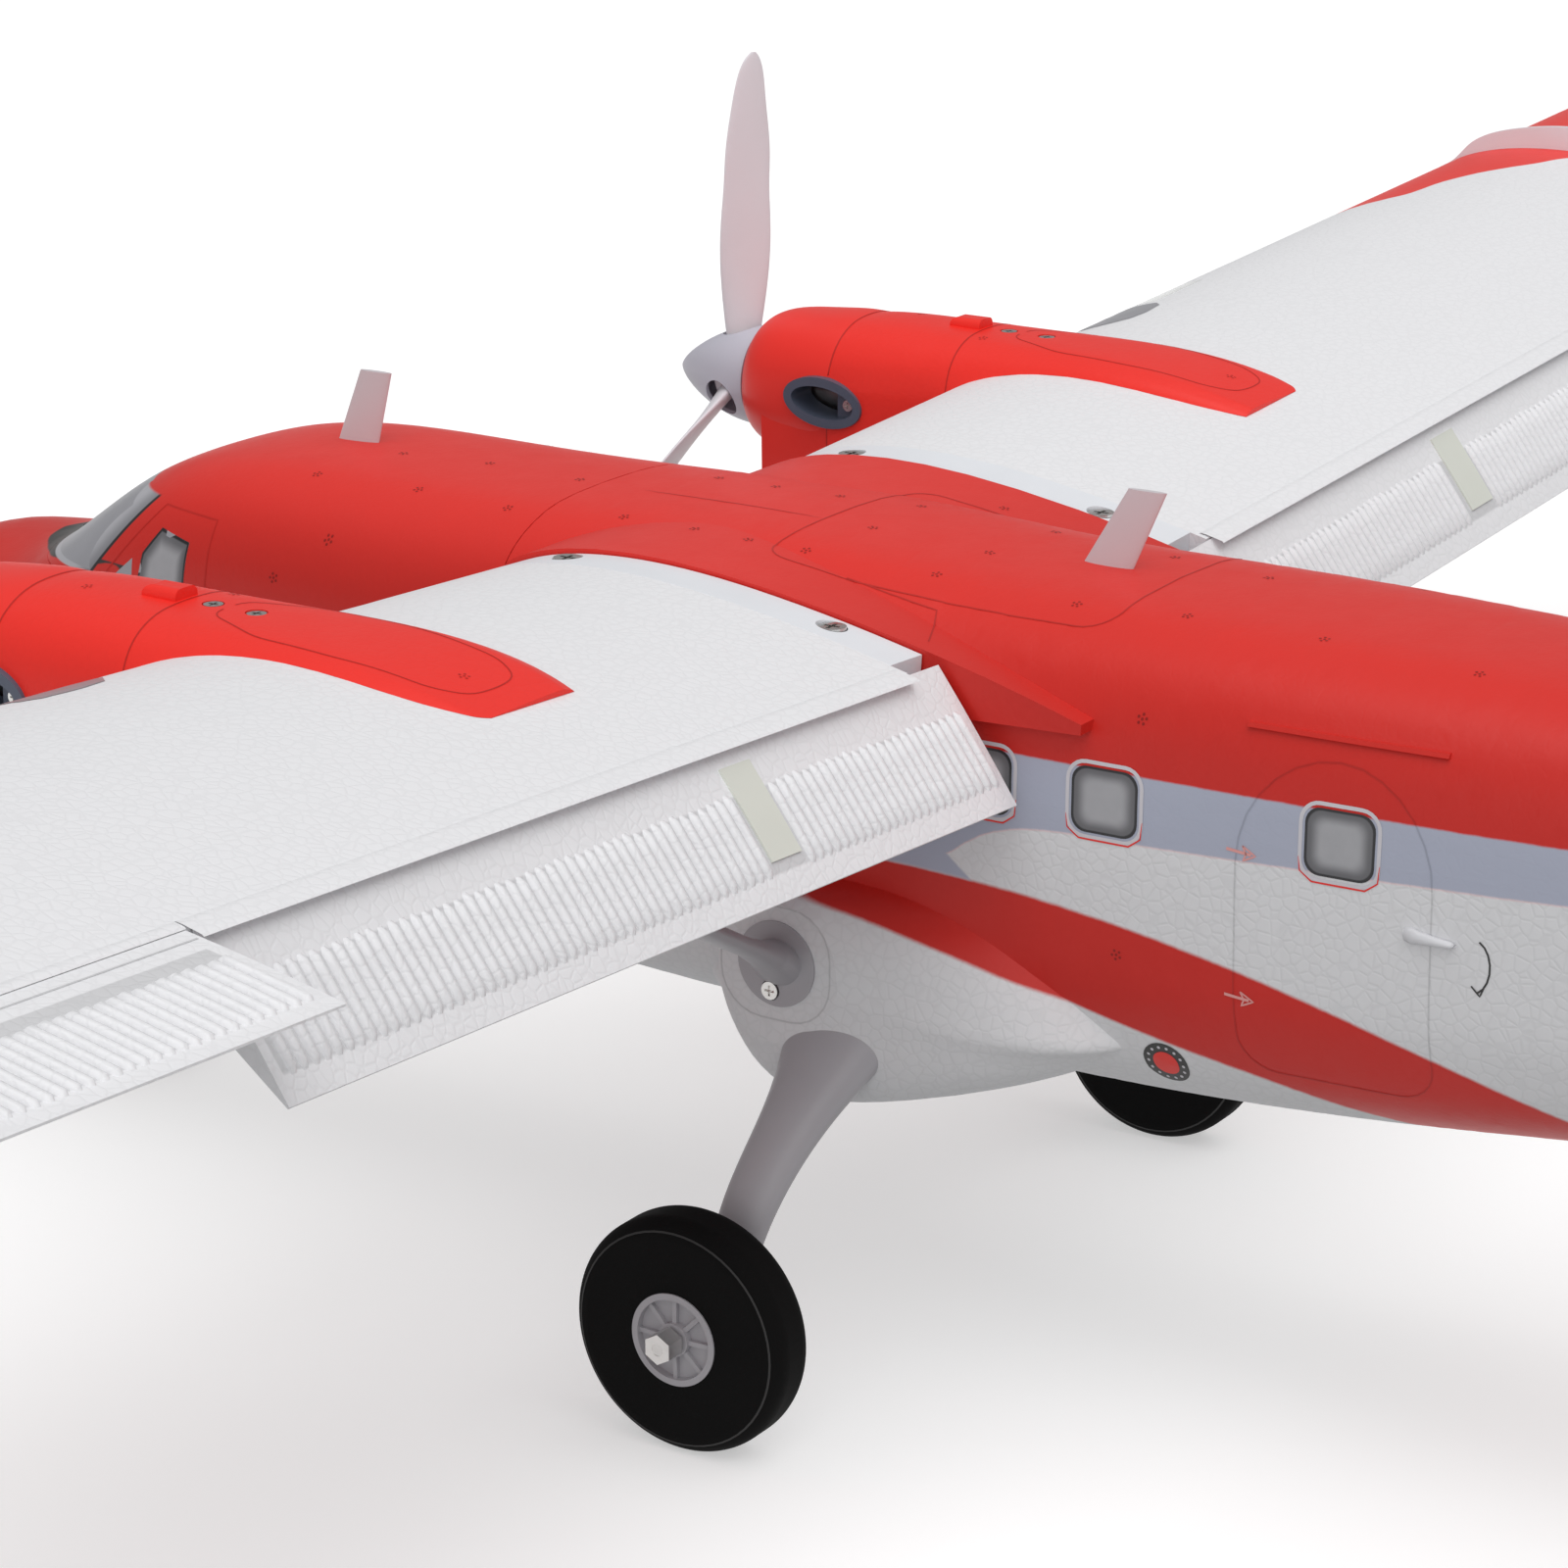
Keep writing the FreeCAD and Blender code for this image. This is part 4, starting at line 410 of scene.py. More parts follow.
FINISHES = {
    "livery": livery("livery"),
    # Darkened copies of the body paint: painted shade for moulded lines and vent holes.
    "livery_groove_shade": livery("livery_groove_shade", 0.70),
    "livery_vent_shade": livery("livery_vent_shade", 0.45),
    "livery_shade": livery("livery_shade", 0.80),
    "wing": wing_livery("wing_livery"),
    # Darkened copy of the wing paint: painted shade in the gap line before the aileron.
    "wing_gap_shade": wing_livery("wing_gap_shade", 0.72),
    "flap": wing_livery("flap_livery", rib_shade_box=(61.5, 313.5, -51.3, -39.9)),
    "aileron": wing_livery("aileron_livery", rib_shade_box=(320.0, 585.0, -51.0, -27.2)),
    "white": foam("white_beads", WHITE, contrast=0.075),
    "red": foam("red_foam_paint", RED, relief=0.014, roughness=0.42, contrast=0.02, gloss=0.3),
    "root": plastic("root_plate_plastic", (0.84, 0.86, 0.90), 0.45),
    "grey": plastic("light_grey_plastic", GREY, 0.42),
    "pale": plastic("pale_grey_plastic", (0.66, 0.62, 0.65), 0.40),
    "red_plastic": plastic("red_plastic", RED, 0.40, gloss=0.35),
    "slate": plastic("slate_plastic", (0.085, 0.10, 0.145), 0.40),
    "black": plastic("black_plastic", DARK, 0.45),
    "glazing": plastic("glazing_grey", (0.36, 0.36, 0.39), 0.35, variation=0.2),
    "window": window_finish(),
    "lens": clear(),
    "tyre": tyre_foam(),
    # Lighter and glossier than the tyre: a painted highlight along the tyre's shoulder.
    "tyre_ring_highlight": plastic("tyre_ring_highlight", (0.012, 0.0115, 0.0115), 0.6),
    "steel": metal("bright_steel", (0.72, 0.71, 0.69), 0.25),
    "aluminium": metal("turned_aluminium", (0.78, 0.77, 0.75), 0.33),
    "motor": metal("motor_steel", (0.30, 0.30, 0.31), 0.35),
    "carbon": carbon(),
    "wrap": wrap(),
    "case": plastic("equipment_case", (0.03, 0.03, 0.034), 0.4),
    # Darker red: painted shade for moulded lines and vent holes on red parts.
    "red_recess_shade": plastic("red_recess_shade", darker(RED, 0.60), 0.5, gloss=0.3),
    "rim": plastic("window_rim", (0.66, 0.64, 0.68), 0.5),
    "blade": plastic("blade_plastic", (0.84, 0.81, 0.85), 0.40),
    "spinner": plastic("spinner_plastic", (0.58, 0.57, 0.65), 0.40),
    "mark": plastic("mark_pale_red", (0.80, 0.36, 0.34), 0.5),
    "white_plastic": plastic("white_plastic", (0.74, 0.74, 0.77), 0.42),
    "print_black": plastic("print_black", (0.02, 0.02, 0.02), 0.5),
    "print_red": plastic("print_red", darker(RED, 0.9), 0.45),
    "tag": plastic("tag_green_grey", (0.76, 0.78, 0.71), 0.45),
}

NODE_FINISH = {
    "fuselage_shell": "livery", "canopy_hatch": "livery", "cockpit_glazing": "glazing",
    "front_antenna": "pale", "rear_antenna": "pale",
    "left_wing": "wing", "right_wing": "wing", "left_root_plate": "root", "right_root_plate": "root",
    "wing_screws": "steel", "spar_tube": "carbon", "left_wing_fence": "blade", "right_wing_fence": "blade",
    "landing_light_lenses": "lens", "wing_servos": "case",
    "left_flap": "flap", "right_flap": "flap", "left_aileron": "aileron", "right_aileron": "aileron",
    "left_gear_leg": "grey", "right_gear_leg": "grey", "left_strut": "grey", "right_strut": "grey",
    "strut_screws": "steel", "left_nacelle": "red", "right_nacelle": "red", "left_cowl": "red_plastic",
    "right_cowl": "red_plastic", "exhaust_stacks": "slate", "nacelle_screws": "steel",
    "motor_mounts": "aluminium", "motor_stators": "motor", "left_motor_bell": "motor",
    "right_motor_bell": "motor", "left_propeller": "blade", "right_propeller": "blade",
    "left_spinner": "spinner", "right_spinner": "spinner",
    "left_wheel_hub": "grey", "right_wheel_hub": "grey",
    "left_tyre": "tyre", "right_tyre": "tyre", "main_axles": "steel", "axle_collars": "aluminium",
    "nose_wheel_hub": "grey", "nose_tyre": "tyre", "nose_axle": "steel", "nose_leg": "grey",
    "steering_arm": "black", "nose_gear_mount": "black", "fin": "red", "tailplane": "white",
    "rudder": "red", "elevator": "white", "elevator_joiner": "steel", "battery_tray": "black",
    "battery": "wrap", "speed_controllers": "case", "receiver": "case", "fuselage_servos": "case",
}
for name, item in NODES.items():
    item.data.materials.clear()
    item.data.materials.append(FINISHES[NODE_FINISH[name]].material)


# ---------------------------------------------------------------- pieces that lie on the frame

def surface_of(*names):
    """A ray-cast tree over CAD nodes at rest."""
    points, faces = [], []
    for name in names:
        start = len(points)
        mesh = NODES[name].data
        points.extend(v.co.copy() for v in mesh.vertices)
        faces.extend([start + i for i in p.vertices] for p in mesh.polygons)
    return BVHTree.FromPolygons(points, faces)


def landed(tree, origin, direction, lift):
    """The point above the surface where a ray from origin first lands, with the surface's outward normal."""
    direction = Vector(direction).normalized()
    hit, normal = tree.ray_cast(Vector(origin), direction)[:2]
    if hit is None:
        return None
    if normal.dot(direction) > 0:
        normal = -normal
    return hit + normal * lift, normal


def make_piece(name, points, faces, body, finish, smooth=True, uvs=None):
    """A mesh in the row frame, riding on a body."""
    mesh = bpy.data.meshes.new(name)
    mesh.from_pydata([tuple(p) for p in points], [], faces)
    mesh.validate()
    if uvs:
        layer = mesh.uv_layers.new(name="UVMap")
        for loop in mesh.loops:
            layer.data[loop.index].uv = uvs[loop.vertex_index]
    for polygon in mesh.polygons:
        polygon.use_smooth = smooth
    item = bpy.data.objects.new(name, mesh)
    bpy.context.scene.collection.objects.link(item)
    mesh.materials.append(FINISHES[finish].material)
    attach(item, body)
    return item


def side_ray(side, y, z):
    return (side * 0.3, y * MM, z * MM), (-side, 0, 0)


def roof_ray(side, x, y):
    return (side * x * MM, y * MM, 0.5), (0, 0, -1)


def belly_ray(side, x, y):
    return (side * x * MM, y * MM, -0.2), (0, 0, 1)


def ring_ray(centre, y, angle, reach=60.0):
    """A ray towards the engine's axis at a station, from an angle measured up from +X."""
    out = Vector((math.cos(angle), 0, math.sin(angle)))
    return Vector((centre[0], y, centre[1])) * MM + out * reach * MM, -out


def dense(points, step, closed):
    """Points along a polyline, no further apart than step."""
    ends = points[1:] + points[:1] if closed else points[1:]
    made = []
    for a, b in zip(points, ends):
        length = math.dist(a, b)
        count = max(1, math.ceil(length / step))
        made.extend(tuple(p + (q - p) * i / count for p, q in zip(a, b)) for i in range(count))
    if not closed:
        made.append(points[-1])
    return made


def strip_parts(tree, rays, width, lift, closed=False, taper=False):
    """Points and faces of a thin strip that follows the surface."""
    found = [landed(tree, origin, direction, lift * MM) for origin, direction in rays]
    found = [item for item in found if item]
    points, faces = [], []
    count = len(found)
    for index, (place, normal) in enumerate(found):
        before = found[(index - 1) % count][0] if closed or index else place
        after = found[(index + 1) % count][0] if closed or index < count - 1 else place
        along = (after - before).normalized()
        across = normal.cross(along).normalized()
        half = width * MM / 2
        if taper:
            half *= math.sin(math.pi * (index + 0.6) / (count + 0.2)) ** 0.5
        points.extend((place - across * half, place + across * half))
    last = count if closed else count - 1
    for index in range(last):
        a, b = 2 * index, 2 * ((index + 1) % count)
        faces.append((a, a + 1, b + 1, b))
    return points, faces


def grid_faces(rows, wide):
    """Quads between rows of points, each row holding that many."""
    return [(row * wide + i, row * wide + i + 1, (row + 1) * wide + i + 1, (row + 1) * wide + i)
            for row in range(rows - 1) for i in range(wide - 1)]


class Gathered:
    """Points and faces collected into one piece."""

    def __init__(self):
        self.points, self.faces, self.uvs = [], [], []

    def take(self, points, faces, uvs=None):
        start = len(self.points)
        self.points.extend(points)
        self.faces.extend(tuple(start + i for i in face) for face in faces)
        self.uvs.extend(uvs or [(0.0, 0.0)] * len(points))

    def build(self, name, body, finish, slot, smooth=True):
        return make_piece(name, self.points, self.faces, body, finish, smooth, self.uvs)


def patch_parts(tree, outline, middle, ray, lift, rings=8):
    """A patch laid on the surface inside an outline. Its U runs from 0 in the middle to 1 at the edge."""
    points, faces, uvs = [], [], []
    count = len(outline)
    for ring in range(rings + 1):
        share = ring / rings
        for a, b in outline if ring else outline[:1]:
            spot = (middle[0] + (a - middle[0]) * share, middle[1] + (b - middle[1]) * share)
            found = landed(tree, *ray(*spot), lift * MM)
            if found is None:
                return [], [], []
            points.append(found[0])
            uvs.append((share, 0.0))
    for index in range(count):
        faces.append((0, 1 + index, 1 + (index + 1) % count))
    for ring in range(1, rings):
        start, outer = 1 + (ring - 1) * count, 1 + ring * count
        for index in range(count):
            after = (index + 1) % count
            faces.append((start + index, outer + index, outer + after, start + after))
    return points, faces, uvs


def rounded_square(centre, half_width, half_height, radius, count=6):
    """Outline of a rectangle with round corners."""
    made = []
    for turn in range(4):
        sx = 1 if turn in (0, 3) else -1
        sy = 1 if turn in (0, 1) else -1
        for step in range(count + 1):
            angle = math.pi / 2 * (turn + step / count)
            made.append((centre[0] + sx * (half_width - radius) + radius * math.cos(angle),
                         centre[1] + sy * (half_height - radius) + radius * math.sin(angle)))
    return made


def rounded_outline(corners, radius, count=4):
    """A polygon with its corners cut round."""
    made = []
    total = len(corners)
    for index, corner in enumerate(corners):
        here = Vector(corner)
        before = (Vector(corners[index - 1]) - here)
        after = (Vector(corners[(index + 1) % total]) - here)
        reach = min(radius, before.length * 0.45, after.length * 0.45)
        start, end = here + before.normalized() * reach, here + after.normalized() * reach
        for step in range(count + 1):
            t = step / count
            made.append(tuple(start * (1 - t) ** 2 + here * 2 * t * (1 - t) + end * t ** 2))
    return made


# ---------------------------------------------------------------- windows, doors and seams

BODY = surface_of("fuselage_shell", "canopy_hatch", "cockpit_glazing")
HATCH = surface_of("canopy_hatch", "cockpit_glazing")
HATCH_BODY = BODY_OF["canopy_hatch"]
WINDOW_Z = 151.0
WINDOW_YS = (39.4, -18.0, -50.0, -82.0, -114.0, -146.0, -178.0)
WINDOW_HALF = (8.3, 7.7)


def on_side(side):
    return lambda y, z: side_ray(side, y, z)


def on_roof(side):
    return lambda x, y: roof_ray(side, x, y)


def ribbon(gathered, tree, outline, ray, width, lift=0.08, closed=False, step=2.0, taper=False):
    """A thin line along an outline, laid on the surface."""
    rays = [ray(*spot) for spot in dense(outline, step, closed)]
    gathered.take(*strip_parts(tree, rays, width, lift, closed, taper))


def cabin_windows():
    """Printed windows with a raised pale rim and a thin red edge below."""
    for word, side in SIDES:
        panes, rims, edges = Gathered(), Gathered(), Gathered()
        for y in WINDOW_YS:
            outline = rounded_square((y, WINDOW_Z), *WINDOW_HALF, 3.6)
            panes.take(*patch_parts(BODY, outline, (y, WINDOW_Z), on_side(side), 0.10))
            half_width, half_height = WINDOW_HALF
            rim = rounded_square((y, WINDOW_Z), half_width + 1.0, half_height + 1.0, 4.4)
            ribbon(rims, BODY, rim, on_side(side), 0.9, 0.12, closed=True)
            low = [(y - half_width - 1.3, WINDOW_Z - 4), (y - half_width - 0.9, WINDOW_Z - 7.2),
                   (y - half_width + 2.0, WINDOW_Z - 9.3), (y + half_width - 2.0, WINDOW_Z - 9.3),
                   (y + half_width + 0.9, WINDOW_Z - 7.2), (y + half_width + 1.3, WINDOW_Z - 3.2)]
            ribbon(edges, BODY, low, on_side(side), 0.45, 0.14, step=1.0, taper=True)
        panes.build(word + "_window_print", "airframe", "window", "white_foam")
        rims.build(word + "_window_rims", "airframe", "rim", "white_foam")
        edges.build(word + "_window_edges", "airframe", "print_red", "red_foam")


def arch(middle, half, spring, crown, foot, corner=9.0, count=14):
    """Door outline: a half ellipse over straight sides and round lower corners."""
    made = [(middle + half * math.cos(math.pi * i / count),
             spring + (crown - spring) * math.sin(math.pi * i / count)) for i in range(count + 1)]
    for start, hub in ((math.pi, middle - half + corner), (1.5 * math.pi, middle + half - corner)):
        for turn in range(7):
            angle = start + math.pi / 2 * turn / 6
            made.append((hub + corner * math.cos(angle), foot + corner + corner * math.sin(angle)))
    return made


def door():
    """Moulded door line, its handle, pointer and hinge marks."""
    for word, side in SIDES:
        seam, marks, black = Gathered(), Gathered(), Gathered()
        ribbon(seam, BODY, arch(38.0, 23.3, 143.0, 168.9, 93.0), on_side(side), 0.4, 0.09, closed=True)
        seam.build(word + "_door_line", "airframe", "livery_shade", "white_foam")
        for z in (145.7, 111.4):
            shaft = [(12.5, z), (18.5, z - 0.6)]
            head = [(16.4, z + 1.2), (19.6, z - 0.7), (16.6, z - 2.2), (17.3, z - 0.6), (16.4, z + 1.2)]
            ribbon(marks, BODY, shaft, on_side(side), 0.7, 0.12, step=0.8)
            ribbon(marks, BODY, head, on_side(side), 0.4, 0.12, step=0.6)
        marks.build(word + "_door_marks", "airframe", "mark", "red_foam")
        curve = [(71.0 + 4.0 * math.sin(a), 129.0 + 6.2 * math.cos(a))
                 for a in (0.35, 0.7, 1.05, 1.4, 1.75, 2.1, 2.45, 2.8)]
        ribbon(black, BODY, curve, on_side(side), 0.45, 0.12, step=0.8)
        barb = [(70.9, 124.5), (72.9, 122.4), (73.9, 124.9)]
        ribbon(black, BODY, barb, on_side(side), 0.4, 0.12, step=0.6)
        black.build(word + "_handle_pointer", "airframe", "print_black", "white_foam")
        lever(word, side)


# Sections of the door lever: place along it from -1 to 1, half height, distance it stands off the skin.
LEVER_SECTIONS = ((-1.0, 0.5, 0.5), (-0.9, 1.5, 1.0), (-0.62, 1.9, 1.5), (-0.4, 1.5, 1.7), (0.2, 1.1, 1.8),
                  (0.85, 0.8, 1.6), (1.0, 0.3, 1.2))


def lever(word, side):
    """Door lever: a boss with a flat tapered arm standing a little off the skin."""
    place, normal = landed(BODY, *side_ray(side, 61.0, 133.5), 0.0)
    rings = []
    for share, half_height, stand in LEVER_SECTIONS:
        rings.append((place.y + share * 6.2 * MM, place.z - share * 0.3 * MM, half_height * MM, stand * MM))
    points, faces = [], []
    around = 10
    for y, z, half, stand in rings:
        for index in range(around):
            angle = 2 * math.pi * index / around
            points.append(Vector((place.x + side * (stand * 0.5 + stand * 0.6 * math.cos(angle)), y,
                                  z + half * math.sin(angle))))
    for ring in range(len(rings) - 1):
        for index in range(around):
            after = (index + 1) % around
            a, b = ring * around, (ring + 1) * around
            faces.append((a + index, a + after, b + after, b + index))
    faces.append(tuple(range(around)))
    faces.append(tuple(range(len(points) - around, len(points)))[::-1])
    make_piece(word + "_door_lever", points, faces, "airframe", "white_plastic")


def disc_outline(middle, radius, count=28):
    return [(middle[0] + radius * math.cos(2 * math.pi * i / count),
             middle[1] + radius * math.sin(2 * math.pi * i / count)) for i in range(count)]


FILLER_MIDDLE = (-5.0, 89.0)


def filler_cap():
    """Printed filler mark: a black ring with pale studs round a red disc."""
    for word, side in SIDES:
        tree, middle = BODY, FILLER_MIDDLE
        ring, red, studs = Gathered(), Gathered(), Gathered()
        ring.take(*patch_parts(tree, disc_outline(middle, 5.6), middle, on_side(side), 0.10, rings=3))
        red.take(*patch_parts(tree, disc_outline(middle, 3.2), middle, on_side(side), 0.16, rings=2))
        for index in range(14):
            angle = 2 * math.pi * index / 14
            spot = (middle[0] + 4.4 * math.cos(angle), middle[1] + 4.4 * math.sin(angle))
            studs.take(*patch_parts(tree, disc_outline(spot, 0.42, 6), spot, on_side(side), 0.16, rings=1))
        ring.build(word + "_filler_ring", "airframe", "print_black", "white_foam")
        red.build(word + "_filler_disc", "airframe", "print_red", "red_foam")
        studs.build(word + "_filler_studs", "airframe", "rim", "white_foam")


# Corners of the cockpit's printed side window as y, z, and the heights of the windscreen post's ends.
SIDE_PANE = [(-301.2, 159.8), (-300.0, 167.5), (-295.0, 174.2), (-284.4, 172.2), (-285.0, 159.8)]
POST_ENDS = (155.5, 177.5)
POST_PROFILE = ((-1.6, -0.3), (-1.3, 1.9), (-0.6, 2.4), (0.6, 2.4), (1.3, 1.9), (1.6, -0.3))


def front_ray(side, x, z):
    return (side * x * MM, -0.6, z * MM), (0, 1, 0)


def cockpit():
    """Printed panes in the side windows, the black middle post of the windscreen and the frame lines, drawn
    in a darker red as painted shade.
    """
    for word, side in SIDES:
        panes, lines = Gathered(), Gathered()
        panes.take(*patch_parts(BODY, dense(SIDE_PANE, 2.0, True), (-292.0, 163.5), on_side(side), 0.10))
        panes.build(word + "_cockpit_print", HATCH_BODY, "window", "window_grey")
        ribbon(lines, BODY, [(-316.0, 157.0), (-297.0, 179.2), (-277.5, 178.4), (-277.5, 157.0)],
               on_side(side), 0.45, step=1.5)
        lines.build(word + "_cockpit_lines", HATCH_BODY, "red_recess_shade", "red_foam")
    points = []
    low, high = POST_ENDS
    count = 24
    for row in range(count + 1):
        share = row / count
        spot, normal = landed(BODY, *front_ray(1, 0.0, low + (high - low) * share), 0.0)
        stand = min(1.0, 0.15 + 4.0 * min(share, 1.0 - share))
        points.extend(spot + Vector((across * MM, 0, 0)) + normal * height * stand * MM
                      for across, height in POST_PROFILE)
    wide = len(POST_PROFILE)
    faces = grid_faces(count + 1, wide)
    faces.append(tuple(range(wide)))
    faces.append(tuple(range(count * wide, (count + 1) * wide))[::-1])
    make_piece("windscreen_post", points, faces, HATCH_BODY, "black")


def roof_seams():
    """Moulded panel lines on the roof and on the wing saddle, drawn as darker strips: painted shade in the
    grooves.
    """
    seam = Gathered()
    panel = rounded_square((0.0, -74.5), 36.0, 46.5, 8.0)
    ribbon(seam, BODY, panel, on_roof(1), 0.45, 0.09, closed=True)
    ribbon(seam, BODY, [(6.4, -174), (7.4, -122.0)], on_roof(1), 0.4, 0.09, taper=True)
    for word, side in SIDES:
        saddle = [(35.3, -97.2), (37.2, -84), (38.8, -70.6), (52.0, -64.8)]
        ribbon(seam, BODY, saddle, on_roof(side), 0.4, 0.09)
    seam.build("roof_panel_lines", "airframe", "livery_groove_shade", "red_foam")


ENGINE_MIDDLE = (171.0, 178.5)
NACELLE_SEAM_Y = -180.0
COWL_SEAM_Y = -218.4
# The line on the nacelle's back as distance from the middle, y.
DECK_LINE = [(165.0, -169.0), (158.3, -152), (157.2, -130), (158.5, -106), (163, -98.8), (171, -97.8),
             (179, -98.8), (183.5, -106), (184.8, -130), (183.7, -152), (177.0, -169.0)]


def engine_seams():
    """Moulded lines round each nacelle and on its back, drawn in a darker red: painted shade in the grooves.
    """
    for word, side in SIDES:
        tree = surface_of(word + "_nacelle", word + "_cowl")
        centre = (side * ENGINE_MIDDLE[0], ENGINE_MIDDLE[1])
        seam, deck = Gathered(), Gathered()
        rays = [ring_ray(centre, NACELLE_SEAM_Y, math.radians(a)) for a in range(-12, 193, 5)]
        seam.take(*strip_parts(tree, rays, 0.55, 0.08, taper=True))
        rays = [ring_ray(centre, COWL_SEAM_Y, math.radians(a)) for a in range(0, 360, 5)]
        seam.take(*strip_parts(tree, rays, 0.5, 0.08, closed=True))
        ribbon(deck, tree, rounded_outline(DECK_LINE, 4.0), on_roof(side), 0.4, 0.08)
        seam.build(word + "_nacelle_seam", "airframe", "red_recess_shade", "red_foam")
        deck.build(word + "_nacelle_deck_line", "airframe", "red_recess_shade", "red_foam")


# ---------------------------------------------------------------- mould vents

# Vent places on the roof as x, y, and on the sides as y, z.
ROOF_VENTS = ((2.6, -224.3), (6.2, -249.0), (28.9, -258.9), (28.0, -227.6), (4.9, -194.7), (30.0, -198.6),
              (-14.4, -165.9), (-13.4, -148.4), (-13.8, -129.8), (-18.3, -109.3), (26.8, -166.1),
              (29.5, -143.7), (30.0, -128.0), (7.4, -107.3), (28.6, -112.7), (26.7, -78.0), (7.4, -75.1),
              (-20.3, -72.9),
              (27.9, -40.1), (-16.1, -38.4), (24.9, -13.4), (-41.0, -99.2), (-11.2, -11.4), (24.3, 20.4),
              (26.2, 58.5), (-28.0, -228.0), (-27.0, 20.0), (-26.0, 60.0), (4.0, 100.0), (22.0, 140.0),
              (-22.0, 140.0), (0.0, 200.0), (14.0, 260.0), (-14.0, 260.0))
SIDE_VENTS = ((-10.5, 170.8), (-255.2, 167.9), (-241.4, 178.5), (-287.0, 144.0), (-330.0, 130.0),
              (95.0, 170.0), (150.0, 165.0), (210.0, 170.0), (270.0, 165.0), (-180.0, 172.0), (-14.5, 115.4),
              (-380.0, 120.0))


def vent_parts(gathered, tree, spot, ray, spread=1.05):
    """A cluster of small round holes, drawn as discs in a darker finish: painted shade in the holes."""
    turn = random.uniform(0.0, math.pi)
    for index in range(6):
        reach = spread if index else 0.0
        angle = turn + 2 * math.pi * index / 5
        place = (spot[0] + reach * math.cos(angle), spot[1] + reach * math.sin(angle))
        gathered.take(*patch_parts(tree, disc_outline(place, 0.36, 6), place, ray, 0.07, rings=1))


def on_hatch(origin, direction):
    """Whether a ray lands on the hatch before anything else of the body."""
    hatch = HATCH.ray_cast(Vector(origin), Vector(direction))[3]
    return hatch is not None and hatch < BODY.ray_cast(Vector(origin), Vector(direction))[3] + 0.1 * MM


def vents():
    random.seed(7)
    holes = {True: Gathered(), False: Gathered()}
    for spot in ROOF_VENTS:
        vent_parts(holes[on_hatch(*on_roof(1)(*spot))], BODY, spot, on_roof(1))
    for word, side in SIDES:
        for spot in SIDE_VENTS:
            vent_parts(holes[on_hatch(*on_side(side)(*spot))], BODY, spot, on_side(side))
    holes[False].build("body_vents", "airframe", "livery_vent_shade", "red_foam")
    holes[True].build("hatch_vents", HATCH_BODY, "livery_vent_shade", "red_foam")
    for word, side in SIDES:
        tree = surface_of(word + "_nacelle")
        holes = Gathered()
        for spot in ((172.5, -105.0), (161.0, -176.0), (176.0, -205.0)):
            vent_parts(holes, tree, spot, on_roof(side))
        holes.build(word + "_nacelle_vents", "airframe", "red_recess_shade", "red_foam")


# ---------------------------------------------------------------- ribbed control surfaces

RIB_PITCH = 3.3
RIB_PROFILE = ((-1.2, 0.0), (-0.9, 0.6), (-0.4, 0.9), (0.4, 0.9), (0.9, 0.6), (1.2, 0.0))
TAG_X = {"left": (141.5, 152.7), "right": (192.5, 205.5)}
TAG_Y = (-54.9, -41.7)


def rib_parts(tree, side, x, front, rear, ray):
    """One moulded rib from front to rear at span x."""
    count = max(4, math.ceil((rear - front) / 3.5))
    rows = [front - 0.4, front + 0.5] + [front + (rear - front) * i / count for i in range(1, count)]
    rows += [rear - 0.5, rear + 0.4]
    points = []
    for row, y in enumerate(rows):
        ends = 0.0 if row in (0, len(rows) - 1) else 1.0
        for across, height in RIB_PROFILE:
            found = landed(tree, *ray(side, x + across * (0.6 if ends == 0.0 else 1.0), y),
                           (height * ends - 0.02) * MM)
            if found is None:
                return [], []
            points.append(found[0])
    return points, grid_faces(len(rows), len(RIB_PROFILE))


def span_box(name):
    """Least and greatest x (away from the middle) and y of a node, in millimetres."""
    places = [v.co for v in NODES[name].data.vertices]
    spans = [abs(p.x) / MM for p in places]
    depths = [p.y / MM for p in places]
    return min(spans), max(spans), min(depths), max(depths)


def ribs():
    """Chordwise ribs on the upper and lower faces of the flaps and ailerons."""
    shroud = {"flap": -54.6, "aileron": -50.0}
    for word, side in SIDES:
        for kind, margin in (("flap", 3.4), ("aileron", 4.2)):
            name = f"{word}_{kind}"
            tree = surface_of(name)
            inner, outer, front, rear = span_box(name)
            for face, ray, start in (("upper", roof_ray, shroud[kind] + 3.6), ("lower", belly_ray, -46.0)):
                made = Gathered()
                x = inner + 4.5
                while x < outer - 4.0:
                    under_tag = TAG_X[word][0] - 1.6 < x < TAG_X[word][1] + 1.6
                    if not (under_tag and face == "upper" and kind == "flap"):
                        made.take(*rib_parts(tree, side, x, start + random.uniform(-0.25, 0.25),
                                             rear - margin, ray))
                    x += RIB_PITCH
                made.build(f"{name}_{face}_ribs", BODY_OF[name], "wing", "white_foam")


def tags():
    """The pale strip let into each flap's upper face."""
    for word, side in SIDES:
        name = word + "_flap"
        tree = surface_of(name)
        front, back = TAG_Y
        low, high = TAG_X[word]
        middle = ((low + high) / 2, (front + back) / 2)
        outline = dense([(low, front), (high, front), (high, back), (low, back)], 1.6, True)
        made = Gathered()
        made.take(*patch_parts(tree, outline, middle, on_roof(side), 0.45, rings=6))
        skirt = [landed(tree, *roof_ray(side, *spot), 0.45 * MM)[0] for spot in outline]
        foot = [landed(tree, *roof_ray(side, *spot), -0.05 * MM)[0] for spot in outline]
        count = len(outline)
        after = [(index + 1) % count for index in range(count)]
        made.take(skirt + foot, [(i, after[i], count + after[i], count + i) for i in range(count)])
        made.build(word + "_flap_tag", BODY_OF[name], "tag", "white_foam", smooth=False)


